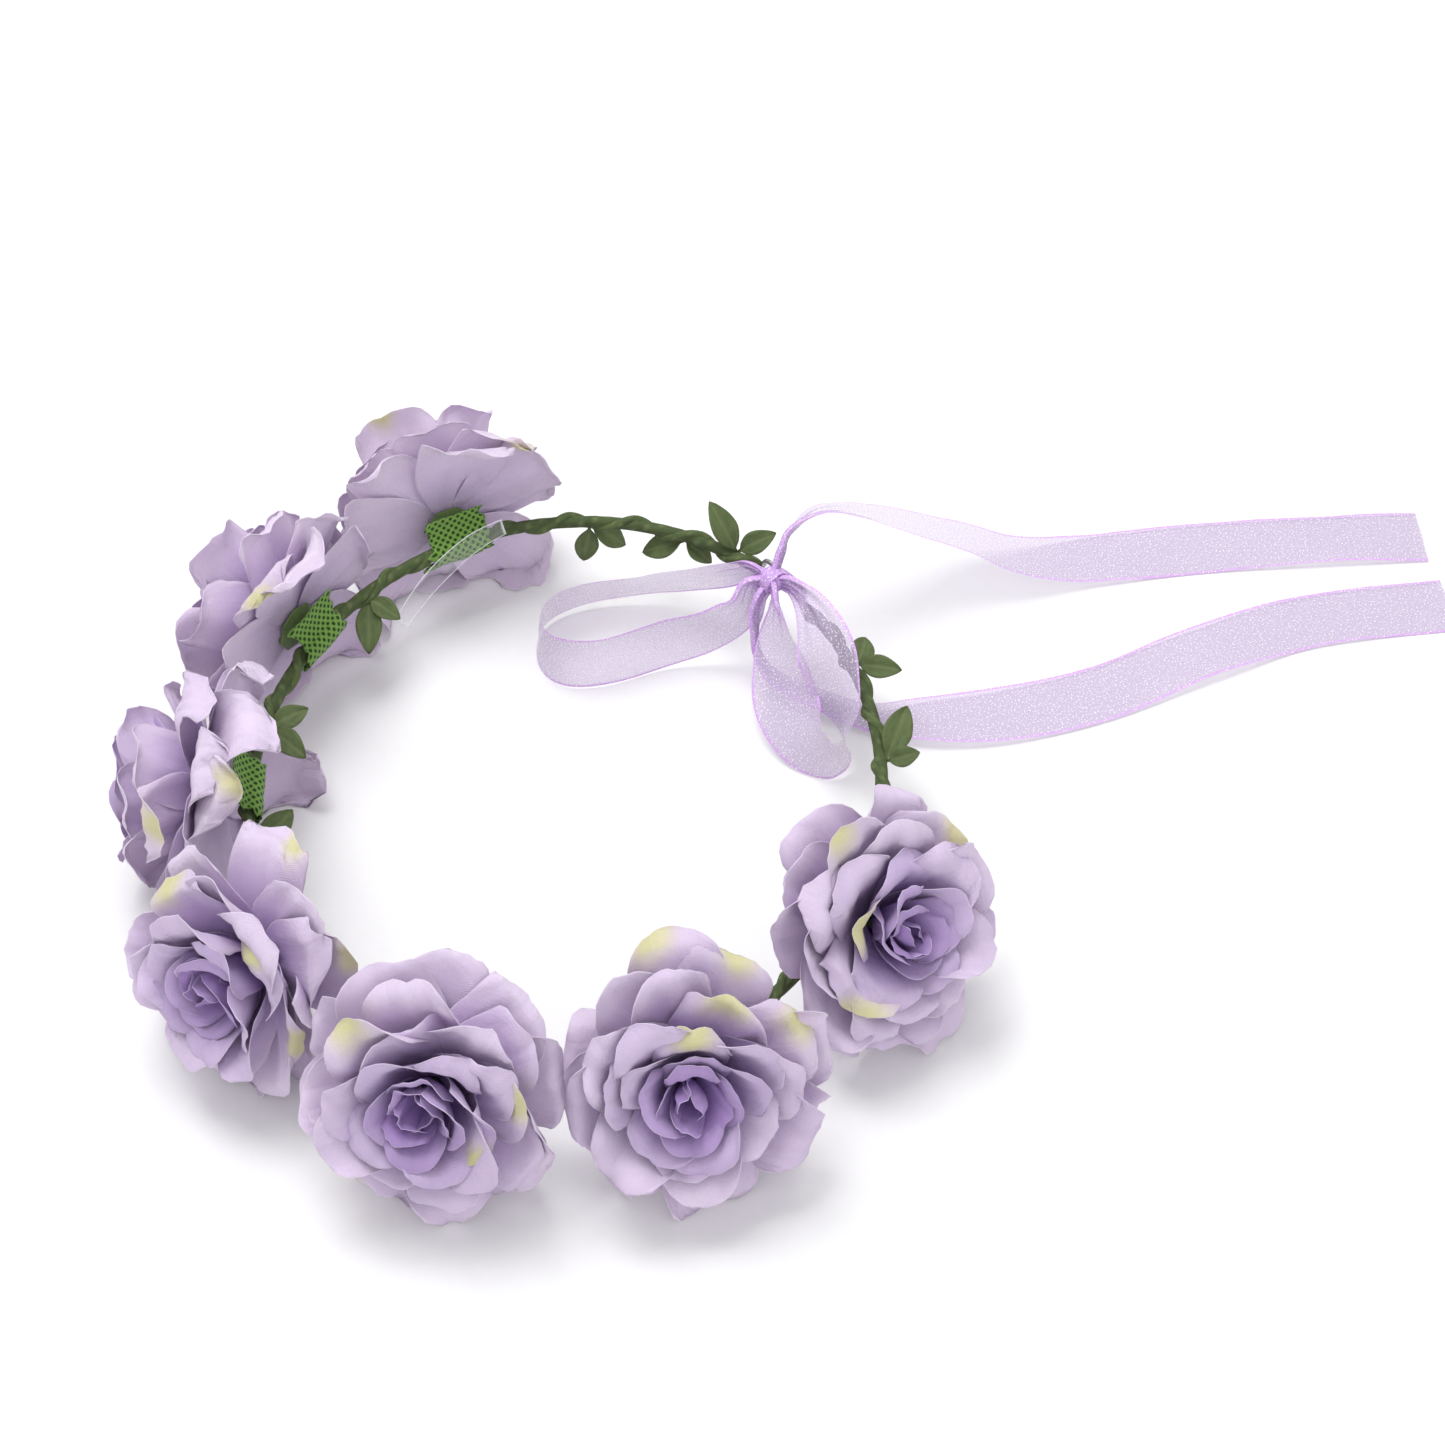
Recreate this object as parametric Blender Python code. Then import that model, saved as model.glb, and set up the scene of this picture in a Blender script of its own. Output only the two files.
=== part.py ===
"""Flower crown: seven fabric roses on a paper-wrapped wire ring, tied with an organza ribbon bow.

Metres, +Z up. The origin is the centre of the head opening on the plane the crown rests on.
The crown lies on a table on its petals, with the ring nearly level above it. The bow that closes
the ring is at azimuth 50, and its tails lie out towards +X.
Lengths below are in millimetres until they reach a mesh, and angles are in degrees.
"""

import math

import bmesh
import bpy
from mathutils import Matrix, Vector

MM = 0.001
UP = Vector((0.0, 0.0, 1.0))

# Ring: half-axes of the oval and the oval's own turn, then its height above the table, which is
# greatest towards RING_HIGH_SIDE.
RING_HALF_X = 84.5
RING_HALF_Y = 95.3
RING_TURN = -10.7
RING_HEIGHT = 26.0
RING_SLANT = 2.5
RING_HIGH_SIDE = 166.0

# The wire is open at the bow, and each end is bent into an eyelet.
GAP_AZIMUTH = 50.0
WIRE_R = 0.8
WRAP_INNER_R = 1.15
WRAP_OUTER_R = 1.6
TWINE_R = 0.42
TWINE_HELIX_R = 2.35
TWINE_PITCH = 15.0
EYELET_R = 2.8
EYELET_OUT = 5.5
EYELET_TURN = 275.0
WRAP_START = 10.0
TWINE_START = 11.0

# Rose heads: azimuth on the ring, azimuth and elevation the flower faces, roll.
ROSES = (
    (112.0, 112.0, 4.0, 18.0),
    (146.0, 146.0, 4.0, -5.0),
    (184.5, 170.0, -3.0, 44.0),
    (218.5, 234.0, 18.0, 21.0),
    (253.0, 262.0, 28.0, -2.0),
    (290.0, 277.0, 28.0, 47.0),
    (329.0, 313.0, 33.0, 24.0),
)
PETAL_THICKNESS = 0.8
LAYER_HOLE_R = 2.2
# Petals bend where they meet the table: below BEND_TOP they lean down to it, and what would come
# below BEND_FLAT lies flat on it.
BEND_TOP = 7.0
BEND_FLAT = 3.0
STEM_R = 1.3

# Petal layers: petals in the layer, how deep the notches are, waviness, and the section from the
# stem hole to the petal tips as (distance from the axis, height above the vine).
LAYERS = {
    "outer": (5, 0.26, 1.0, ((2.2, 8.6), (12.0, 9.0), (24.0, 10.8), (33.0, 13.0), (36.5, 12.6))),
    "middle": (5, 0.20, 0.8, ((2.2, 10.6), (11.0, 12.2), (21.0, 17.0), (27.0, 23.0), (29.5, 28.0))),
    "inner": (5, 0.16, 0.5, ((2.2, 12.8), (8.0, 15.4), (14.5, 22.0), (18.5, 32.0))),
}
STEPS_PER_PETAL = {"outer": 4, "middle": 4, "inner": 3}
BUD_SECTION = (
    (0.0, 16.4), (3.2, 17.2), (7.2, 23.5), (8.6, 30.0), (6.6, 36.5), (3.4, 38.0), (0.0, 34.5),
)
CALYX_SECTION = (
    (0.0, 4.6), (3.2, 4.8), (7.6, 7.2), (7.2, 8.0), (STEM_R, 8.0), (STEM_R, 15.9), (0.0, 15.9),
)

# Felt pad: a saddle bent round the back of the vine behind each rose, with a wing to each side.
PAD_R = 3.75
PAD_THICKNESS = 0.5
PAD_LENGTH = 18.0
PAD_HALF_ANGLE = 80.0
PAD_WING = ((6.9, 1.5), (10.2, 2.4))

# Ribbon: one organza ribbon 20 mm wide, gathered where it meets the knot.
RIBBON_THICKNESS = 0.5
KNOT_INWARD = 5.0
KNOT_LIFT = 6.8
KNOT_RADII = (4.2, 3.7, 3.5)
TIE_R = 0.9
TIE_HALF_WIDTH = 2.1

# Leaf pairs: azimuth on the ring, direction round the vine (0 outward, 90 up), then for each blade
# its swing from that direction, its slant along the vine and its length. A pair is one strip of
# paper caught in the twine at its middle.
LEAF_PAIRS = (
    (88.0, -95.0, (-8.0, 8.0, 12.0), (10.0, -52.0, 13.0)),
    (71.0, -105.0, (-12.0, 60.0, 13.0), (10.0, -60.0, 9.0)),
    (61.0, 70.0, (10.0, 38.0, 15.0), (-20.0, -40.0, 11.0)),
    (28.0, -10.0, (15.0, -32.0, 11.0), (0.0, 52.0, 12.0)),
    (5.0, 25.0, (5.0, 62.0, 17.0), (-15.0, 10.0, 8.0)),
    (132.5, -145.0, (5.0, 38.0, 14.0), (-20.0, -12.0, 9.0)),
    (169.0, 180.0, (5.0, 32.0, 12.0), (-10.0, -38.0, 10.0)),
    (198.0, 170.0, (0.0, -42.0, 14.0), (10.0, 42.0, 12.0)),
)
LEAF_WIDTH = 7.0
LEAF_THICKNESS = 0.5
LEAF_BASE_R = 3.25

# Ribbon runs: (x, y, height, lean, width) of points along each run's middle. Lean is 0 where the
# ribbon stands on its edge and 90 where it lies flat, turning towards the right of its direction.
LOOP_LEFT = (
    (49.2, 65.5, 31.0, 0.0, 6.0),
    (46.5, 64.5, 22.5, 0.0, 12.0),
    (38.0, 63.8, 14.0, 0.0, 17.0),
    (24.0, 61.0, 10.8, 0.0, 20.0),
    (6.0, 54.5, 10.6, 0.0, 20.0),
    (-6.5, 56.0, 10.6, 0.0, 20.0),
    (-11.0, 65.0, 10.8, 8.0, 20.0),
    (-7.0, 75.5, 11.0, 20.0, 20.0),
    (5.0, 81.0, 11.6, 27.0, 20.0),
    (21.0, 82.0, 13.5, 27.0, 19.0),
    (36.0, 79.0, 19.5, 22.0, 15.0),
    (46.0, 74.0, 27.5, 10.0, 9.0),
    (49.9, 71.2, 32.0, 0.0, 5.5),
)
LOOP_RIGHT = (
    (56.5, 60.9, 32.5, 0.0, 6.0),
    (56.6, 57.5, 28.5, -24.0, 10.0),
    (57.4, 51.0, 18.5, -46.0, 17.0),
    (59.2, 41.0, 12.2, -54.0, 20.0),
    (62.4, 31.5, 10.6, -44.0, 20.0),
    (66.2, 24.4, 10.4, -20.0, 20.0),
    (70.8, 20.4, 10.8, -2.0, 20.0),
    (75.0, 21.4, 12.4, 3.0, 20.0),
    (75.7, 27.0, 16.8, 8.0, 20.0),
    (73.0, 34.5, 23.6, 32.0, 20.0),
    (69.9, 43.5, 30.6, 50.0, 18.0),
    (66.4, 55.0, 32.8, 36.0, 12.0),
    (61.5, 62.8, 33.8, 10.0, 6.0),
)
TAIL_1 = (
    (58.3, 72.6, 38.0, 0.0, 5.0),
    (61.0, 77.5, 41.0, 20.0, 8.0),
    (71.0, 85.5, 41.0, 55.0, 14.0),
    (90.0, 92.5, 31.0, 70.0, 19.0),
    (110.0, 97.5, 18.0, 74.0, 20.0),
    (130.0, 99.5, 7.5, 80.0, 20.0),
    (152.0, 103.8, 1.6, 88.0, 20.0),
    (184.0, 108.7, 0.7, 90.0, 20.0),
    (218.0, 111.7, 1.6, 86.0, 20.0),
    (252.0, 113.7, 0.7, 90.0, 20.0),
)
TAIL_2 = (
    (52.0, 62.8, 28.0, 10.0, 4.0),
    (50.8, 61.0, 18.0, 12.0, 4.5),
    (52.3, 57.5, 9.0, 40.0, 5.5),
    (58.0, 52.3, 5.2, 65.0, 7.0),
    (70.0, 46.0, 4.0, 78.0, 8.0),
    (84.0, 41.2, 2.4, 88.0, 10.0),
    (99.0, 40.6, 2.8, 85.0, 17.0),
    (121.0, 43.0, 1.8, 88.0, 20.0),
    (149.0, 51.0, 0.7, 90.0, 20.0),
    (181.0, 66.5, 1.8, 86.0, 20.0),
    (214.0, 79.5, 0.8, 90.0, 20.0),
    (256.0, 86.0, 0.7, 90.0, 20.0),
)

# Clear film band: the swing-tag loop that is left on the vine beside the first rose.
TAG_PATH = (
    (-20.5, 84.0, 36.0, 5.0, 7.0),
    (-30.0, 78.5, 34.0, 10.0, 8.0),
    (-41.0, 71.0, 27.0, 15.0, 8.0),
    (-50.0, 62.5, 18.5, 10.0, 7.0),
)
TAG_THICKNESS = 0.3

COLOURS = {
    "petal_outer": ((0.64, 0.55, 0.74), 0.8, 0.0),
    "petal_middle": ((0.56, 0.45, 0.69), 0.8, 0.0),
    "petal_inner": ((0.44, 0.32, 0.60), 0.8, 0.0),
    "petal_bud": ((0.31, 0.19, 0.48), 0.8, 0.0),
    "calyx_green": ((0.16, 0.24, 0.09), 0.6, 0.0),
    "felt_green": ((0.17, 0.38, 0.07), 0.9, 0.0),
    "paper_green": ((0.10, 0.15, 0.05), 0.75, 0.0),
    "twine_green": ((0.14, 0.19, 0.06), 0.75, 0.0),
    "leaf_green": ((0.13, 0.19, 0.06), 0.7, 0.0),
    "wire_steel": ((0.45, 0.45, 0.44), 0.35, 1.0),
    "organza": ((0.70, 0.55, 0.82), 0.5, 0.0),
    "clear_film": ((0.90, 0.92, 0.93), 0.1, 0.0),
}


def material(name):
    """The material of this name, made the first time it is asked for."""
    found = bpy.data.materials.get(name)
    if found:
        return found
    colour, roughness, metallic = COLOURS[name]
    made = bpy.data.materials.new(name)
    made.use_nodes = True
    shader = made.node_tree.nodes["Principled BSDF"]
    shader.inputs["Base Color"].default_value = (*colour, 1.0)
    shader.inputs["Roughness"].default_value = roughness
    shader.inputs["Metallic"].default_value = metallic
    return made


def add_node(name, points, faces, slot, frame=None):
    """Adds a closed mesh of points in millimetres, given in the frame's own coordinates."""
    mesh = bpy.data.meshes.new(name)
    mesh.from_pydata([point * MM for point in points], [], faces)
    shell = bmesh.new()
    shell.from_mesh(mesh)
    bmesh.ops.recalc_face_normals(shell, faces=shell.faces)
    shell.to_mesh(mesh)
    shell.free()
    mesh.materials.append(material(slot))
    mesh.polygons.foreach_set("use_smooth", [True] * len(mesh.polygons))
    node = bpy.data.objects.new(name, mesh)
    if frame is not None:
        rotation = frame.to_quaternion().to_matrix().to_4x4()
        node.matrix_world = Matrix.Translation(frame.translation * MM) @ rotation
    bpy.context.scene.collection.objects.link(node)
    return node


def ring_point(azimuth):
    """Point of the ring's middle line at this azimuth, in millimetres."""
    turn = math.radians(azimuth)
    own = math.radians(azimuth - RING_TURN)
    reach = RING_HALF_X * RING_HALF_Y / math.hypot(
        RING_HALF_Y * math.cos(own), RING_HALF_X * math.sin(own)
    )
    height = RING_HEIGHT + RING_SLANT * math.cos(turn - math.radians(RING_HIGH_SIDE))
    return Vector((reach * math.cos(turn), reach * math.sin(turn), height))


def ring_axes(azimuth):
    """(along, outward, upward) unit vectors of the ring at this azimuth, along being anticlockwise."""
    along = (ring_point(azimuth + 0.5) - ring_point(azimuth - 0.5)).normalized()
    outward = along.cross(UP).normalized()
    return along, outward, outward.cross(along)


def vine_points(start_length, spacing):
    """Points along the vine from one end to the other, leaving start_length free at each end."""
    azimuths = [GAP_AZIMUTH + 0.5 * step for step in range(721)]
    fine = [ring_point(azimuth) for azimuth in azimuths]
    lengths = [0.0]
    for before, after in zip(fine, fine[1:]):
        lengths.append(lengths[-1] + (after - before).length)
    count = round((lengths[-1] - 2 * start_length) / spacing)
    found = []
    at = 0
    for step in range(count + 1):
        wanted = start_length + (lengths[-1] - 2 * start_length) * step / count
        while lengths[at + 1] < wanted:
            at += 1
        share = (wanted - lengths[at]) / (lengths[at + 1] - lengths[at])
        found.append(fine[at].lerp(fine[at + 1], share))
    return found


def path_frames(path):
    """(tangent, side, top) unit vectors at each point of a path that never runs straight up."""
    frames = []
    for index, _ in enumerate(path):
        tangent = (path[min(index + 1, len(path) - 1)] - path[max(index - 1, 0)]).normalized()
        side = tangent.cross(UP).normalized()
        frames.append((tangent, side, side.cross(tangent)))
    return frames


def quad(a, b, c, d):
    """Two triangles, always cut from a to c, so that the two skins of a thin sheet stay parallel."""
    return [(a, b, c), (a, c, d)]


def loft(rings, closed_path=False):
    """Faces that join equal rings of points, with a cap at each end unless the path is closed."""
    size = len(rings[0])
    faces = []
    last = len(rings) if closed_path else len(rings) - 1
    for index in range(last):
        here = index * size
        there = (index + 1) % len(rings) * size
        for step in range(size):
            after = (step + 1) % size
            faces.append((here + step, here + after, there + after, there + step))
    if not closed_path:
        faces.append(tuple(reversed(range(size))))
        faces.append(tuple((len(rings) - 1) * size + step for step in range(size)))
    return [point for ring in rings for point in ring], faces


def circle(centre, side, top, radius, sides, turn=0.0):
    """Ring of points round a centre, anticlockwise from side to top."""
    angles = [2 * math.pi * step / sides + turn for step in range(sides)]
    return [centre + radius * (math.cos(a) * side + math.sin(a) * top) for a in angles]


def spline(points, steps):
    """Smooth run through rows of numbers, with this many steps between neighbouring rows."""
    rows = [Vector(row) for row in points]
    run = []
    for index in range(len(rows) - 1):
        before = rows[max(index - 1, 0)]
        start = rows[index]
        end = rows[index + 1]
        after = rows[min(index + 2, len(rows) - 1)]
        for step in range(steps):
            t = step / steps
            run.append(
                0.5 * (2 * start + (end - before) * t
                       + (2 * before - 5 * start + 4 * end - after) * t ** 2
                       + (3 * start - before - 3 * end + after) * t ** 3)
            )
    run.append(rows[-1])
    return run


def strip(rows, thickness, origin):
    """Closed strip with its middle on the rows' first three numbers, then its lean and its width."""
    path = [Vector(row[:3]) for row in rows]
    rings = []
    for row, (tangent, side, top) in zip(rows, path_frames(path)):
        lean = math.radians(row[3])
        across = math.cos(lean) * top + math.sin(lean) * side
        normal = tangent.cross(across)
        half = 0.5 * row[4] * across
        skin = 0.5 * thickness * normal
        middle = Vector(row[:3]) - origin
        rings.append([middle - half - skin, middle + half - skin, middle - half + skin, middle + half + skin])
    faces = [(0, 1, 3), (0, 3, 2)]
    for index in range(len(rings) - 1):
        low_front, high_front, low_back, high_back = range(4 * index, 4 * index + 4)
        faces += quad(low_front, high_front, high_front + 4, low_front + 4)
        faces += quad(low_back, high_back, high_back + 4, low_back + 4)
        faces += quad(low_front, low_back, low_back + 4, low_front + 4)
        faces += quad(high_front, high_back, high_back + 4, high_front + 4)
    end = 4 * len(rings) - 4
    faces += [(end, end + 1, end + 3), (end, end + 3, end + 2)]
    return [point for ring in rings for point in ring], faces


def eyelet_points(towards):
    """Points round the eyelet at the wire's end, from the vine side, towards being away from the gap."""
    centre = ring_point(GAP_AZIMUTH) + EYELET_OUT * towards + EYELET_R * UP
    angles = [math.radians(EYELET_TURN * step / 12) for step in range(13)]
    return [centre - EYELET_R * (math.sin(turn) * towards + math.cos(turn) * UP) for turn in angles]


def make_frame_wire():
    """Steel wire round the ring, each end bent into an eyelet in the upright plane along the vine."""
    along, _, _ = ring_axes(GAP_AZIMUTH)
    first_eyelet = eyelet_points(along)
    path = first_eyelet[::-1] + vine_points(WRAP_START, 9.5) + eyelet_points(-along)
    # The wire's own side direction is carried along the path, so that the eyelets don't twist it.
    side = along.cross(UP).normalized()
    rings = []
    for index, point in enumerate(path):
        tangent = (path[min(index + 1, len(path) - 1)] - path[max(index - 1, 0)]).normalized()
        side = (side - side.dot(tangent) * tangent).normalized()
        rings.append(circle(point, side, side.cross(tangent), WIRE_R, 6))
    points, faces = loft(rings)
    add_node("frame_wire", points, faces, "wire_steel")


def make_vine_wrap():
    """Paper tube round the wire, open at both ends."""
    path = vine_points(WRAP_START, 9.5)
    sides = 6
    points = []
    for point, (_, side, top) in zip(path, path_frames(path)):
        points += circle(point, side, top, WRAP_OUTER_R, sides)
        points += circle(point, side, top, WRAP_INNER_R, sides)
    last = (len(path) - 1) * 2 * sides
    faces = []
    for step in range(sides):
        after = (step + 1) % sides
        for here in range(0, last, 2 * sides):
            there = here + 2 * sides
            faces.append((here + step, there + step, there + after, here + after))
            inner = here + sides, there + sides
            faces.append((inner[0] + step, inner[0] + after, inner[1] + after, inner[1] + step))
        for end in (0, last):
            faces.append((end + step, end + after, end + sides + after, end + sides + step))
    add_node("vine_wrap", points, faces, "paper_green")


def make_vine_twine():
    """Second paper strand, wound round the wrapped wire from end to end."""
    steps_per_turn = 7
    path = vine_points(TWINE_START, TWINE_PITCH / steps_per_turn)
    winding = []
    for index, (point, (_, side, top)) in enumerate(zip(path, path_frames(path))):
        turn = 2 * math.pi * index / steps_per_turn
        winding.append(point + TWINE_HELIX_R * (math.cos(turn) * side + math.sin(turn) * top))
    rings = []
    for point, middle, (tangent, _, _) in zip(winding, path, path_frames(path)):
        outward = (point - middle).normalized()
        rings.append(circle(point, outward, outward.cross(tangent), TWINE_R, 3))
    points, faces = loft(rings)
    add_node("vine_twine", points, faces, "twine_green")


def rose_frame(rose):
    """Rose coordinates in millimetres: origin on the vine, +Z the way the flower faces."""
    azimuth, facing, elevation, roll = rose
    turn = math.radians(facing)
    rise = math.radians(elevation)
    axis = Vector((math.cos(rise) * math.cos(turn), math.cos(rise) * math.sin(turn), math.sin(rise)))
    sideways = UP.cross(axis).normalized()
    upward = axis.cross(sideways)
    frame = Matrix((sideways, upward, axis)).transposed().to_4x4()
    frame.translation = ring_point(azimuth)
    return frame @ Matrix.Rotation(math.radians(roll), 4, "Z")


def sector(index):
    """Azimuths between which a rose's petals stay, half way to each neighbour."""
    azimuth = ROSES[index][0]
    before = ROSES[index - 1][0] if index > 0 else azimuth - 50.0
    after = ROSES[index + 1][0] if index + 1 < len(ROSES) else azimuth + 50.0
    return 0.5 * (before + azimuth), 0.5 * (azimuth + after)


def keep_in_sector(point, index):
    """Presses a point back between the two neighbouring roses, the more the nearer it is to them."""
    low, high = sector(index)
    azimuth = math.degrees(math.atan2(point.y, point.x)) % 360.0
    own = ROSES[index][0]
    half = (high - own if azimuth > own else own - low) - 0.4
    share = abs(azimuth - own) / half
    free = 0.72
    if share <= free:
        return point
    pressed = free + (1 - free) * math.tanh((share - free) / (1 - free))
    turned = math.radians(own + math.copysign(pressed * half, azimuth - own))
    reach = math.hypot(point.x, point.y)
    return Vector((reach * math.cos(turned), reach * math.sin(turned), point.z))


def rest_on_table(height, lowest):
    """Height of a petal point once the petal has bent against the table."""
    if height < BEND_TOP:
        height = BEND_TOP * (height - BEND_FLAT) / (BEND_TOP - BEND_FLAT)
    return max(height, lowest)


def section_point(section, share):
    """(distance from the axis, height) at this share of a section's length, with its slope."""
    lengths = [0.0]
    for before, after in zip(section, section[1:]):
        lengths.append(lengths[-1] + math.dist(before, after))
    wanted = share * lengths[-1]
    for index in range(len(section) - 1):
        if wanted <= lengths[index + 1] + 1e-9:
            break
    (r0, h0), (r1, h1) = section[index], section[index + 1]
    t = (wanted - lengths[index]) / (lengths[index + 1] - lengths[index])
    return r0 + (r1 - r0) * t, h0 + (h1 - h0) * t, (r1 - r0, h1 - h0)


def petal_point(layer, share, turn, phase, inside):
    """A point of a petal layer's outer or inner skin, in rose coordinates."""
    petals, notch, wave, section = LAYERS[layer]
    radius, height, slope = section_point(section, share)
    length = math.hypot(*slope)
    across = abs((turn * petals / (2 * math.pi)) % 1.0 - 0.5) * 2
    spread = 1 - notch * across ** 3 * share ** 2
    height += wave * share * math.sin(2 * turn + phase)
    if inside:
        radius -= PETAL_THICKNESS * slope[1] / length
        height += PETAL_THICKNESS * slope[0] / length
    radius = max(radius * spread, LAYER_HOLE_R)
    return Vector((radius * math.cos(turn + phase), radius * math.sin(turn + phase), height))


def make_petal_layer(name, layer, index, frame, phase, rows):
    """One die-cut fabric layer: a scalloped bowl with a hole for the stem."""
    petals = LAYERS[layer][0]
    columns = petals * STEPS_PER_PETAL[layer]
    back = frame.inverted()
    points = []
    for inside in (False, True):
        lowest = PETAL_THICKNESS if inside else 0.0
        for row in range(rows + 1):
            for column in range(columns):
                turn = 2 * math.pi * column / columns
                point = frame @ petal_point(layer, row / rows, turn, phase, inside)
                point = keep_in_sector(point, index)
                point.z = rest_on_table(point.z, lowest)
                points.append(back @ point)
    skin = (rows + 1) * columns
    faces = []
    for row in range(rows):
        for column in range(columns):
            after = (column + 1) % columns
            here = row * columns
            there = here + columns
            corners = (here + column, there + column, there + after, here + after)
            faces += quad(*corners)
            faces += quad(*(skin + corner for corner in corners))
    rim = rows * columns
    for column in range(columns):
        after = (column + 1) % columns
        faces.append((column, after, skin + after, skin + column))
        faces.append((rim + column, skin + rim + column, skin + rim + after, rim + after))
    return add_node(name, points, faces, "petal_" + layer, frame)


def make_turned(name, section, sides, slot, frame, index):
    """A solid turned about the rose's axis. The section's first and last points lie on the axis."""
    back = frame.inverted()
    points = [Vector((0.0, 0.0, section[0][1])), Vector((0.0, 0.0, section[-1][1]))]
    for radius, height in section[1:-1]:
        for step in range(sides):
            turn = 2 * math.pi * step / sides
            point = Vector((radius * math.cos(turn), radius * math.sin(turn), height))
            points.append(back @ keep_in_sector(frame @ point, index))
    faces = []
    rows = len(section) - 2
    for step in range(sides):
        after = (step + 1) % sides
        faces.append((0, 2 + after, 2 + step))
        faces.append((1, 2 + (rows - 1) * sides + step, 2 + (rows - 1) * sides + after))
        for row in range(rows - 1):
            here = 2 + row * sides
            there = here + sides
            faces.append((here + step, here + after, there + after, there + step))
    return add_node(name, points, faces, slot, frame)


def make_pad(name, rose):
    """Felt saddle round the back of the vine, its two wings spread under the calyx."""
    azimuth = rose[0]
    along, _, _ = ring_axes(azimuth)
    facing = rose_frame(rose).col[2].xyz
    facing = (facing - facing.dot(along) * along).normalized()
    side = facing.cross(along)
    section = [Vector((-x, y)) for x, y in reversed(PAD_WING)]
    for step in range(7):
        turn = math.radians(PAD_HALF_ANGLE * (step / 3 - 1))
        section.append(Vector((PAD_R * math.sin(turn), -PAD_R * math.cos(turn))))
    section += [Vector(corner) for corner in PAD_WING]
    outer = []
    inner = []
    for index, spot in enumerate(section):
        run = section[min(index + 1, len(section) - 1)] - section[max(index - 1, 0)]
        skin = 0.5 * PAD_THICKNESS * Vector((run.y, -run.x)).normalized()
        outer.append(spot + skin)
        inner.append(spot - skin)
    ring = outer + inner[::-1]
    rings = []
    for end in (-0.5, 0.0, 0.5):
        centre = ring_point(azimuth) + end * PAD_LENGTH * along
        rings.append([centre + x * side + y * facing for x, y in ring])
    points, faces = loft(rings)
    add_node(name, points, faces, "felt_green")


def make_rose(index):
    """A rose head: calyx with stem, three petal layers, the rolled bud and the felt pad behind."""
    rose = ROSES[index]
    name = f"rose_{index + 1}"
    frame = rose_frame(rose)
    phase = math.radians(23.0 * index)
    make_turned(f"{name}_calyx", CALYX_SECTION, 8, "calyx_green", frame, index)
    make_petal_layer(f"{name}_petals_outer", "outer", index, frame, phase, 4)
    make_petal_layer(f"{name}_petals_middle", "middle", index, frame, phase + 0.63, 3)
    make_petal_layer(f"{name}_petals_inner", "inner", index, frame, phase + 0.2, 3)
    make_turned(f"{name}_bud", BUD_SECTION, 10, "petal_bud", frame, index)
    make_pad(f"{name}_felt_pad", rose)


def make_leaf_pair(name, pair):
    """Two paper blades in one strip, caught at its middle on the outside of the twine."""
    azimuth, turn, first, second = pair
    along, outward, upward = ring_axes(azimuth)

    def round_vine(angle):
        return math.cos(math.radians(angle)) * outward + math.sin(math.radians(angle)) * upward

    base = ring_point(azimuth) + LEAF_BASE_R * round_vine(turn)
    blades = []
    for swing, slant, length in (first, second):
        lean = math.radians(slant)
        direction = math.cos(lean) * round_vine(turn + swing) + math.sin(lean) * along
        blades.append([
            (*(base + share * length * direction), 60.0, width * LEAF_WIDTH)
            for share, width in ((0.04, 0.2), (0.25, 0.75), (0.55, 1.0), (0.8, 0.7), (1.0, 0.08))
        ])
    rows = list(reversed(blades[0])) + blades[1]
    points, faces = strip(rows, LEAF_THICKNESS, Vector((0.0, 0.0, 0.0)))
    add_node(name, points, faces, "leaf_green")


def knot_point():
    """Middle of the bow's knot, which sits over the tie on the head's side of the ring."""
    _, outward, _ = ring_axes(GAP_AZIMUTH)
    return ring_point(GAP_AZIMUTH) - KNOT_INWARD * outward + KNOT_LIFT * UP


def knot_frame():
    """Knot coordinates in millimetres: +X along the ring, +Y out of it, +Z up."""
    along, outward, _ = ring_axes(GAP_AZIMUTH)
    frame = Matrix((along, outward, along.cross(outward))).transposed().to_4x4()
    frame.translation = knot_point()
    return frame


def make_ribbon_tie():
    """Gathered ribbon that links the two eyelets under the knot."""
    along, outward, _ = ring_axes(GAP_AZIMUTH)
    outward = Vector((outward.x, outward.y, 0.0)).normalized()
    centre = ring_point(GAP_AZIMUTH) + EYELET_R * UP
    path = []
    for step in range(16):
        turn = 2 * math.pi * step / 16
        # A power below 1 squares the oval off, so that it runs straight through both eyelets.
        reach = math.copysign(abs(math.cos(turn)) ** 0.8, math.cos(turn))
        width = math.copysign(abs(math.sin(turn)) ** 0.8, math.sin(turn))
        path.append(centre + EYELET_OUT * reach * along + TIE_HALF_WIDTH * width * outward)
    rings = []
    for index, point in enumerate(path):
        tangent = (path[(index + 1) % 16] - path[index - 1]).normalized()
        side = tangent.cross(UP).normalized()
        rings.append(circle(point, side, side.cross(tangent), TIE_R, 5))
    points, faces = loft(rings, closed_path=True)
    add_node("ribbon_tie", points, faces, "organza")


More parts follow.
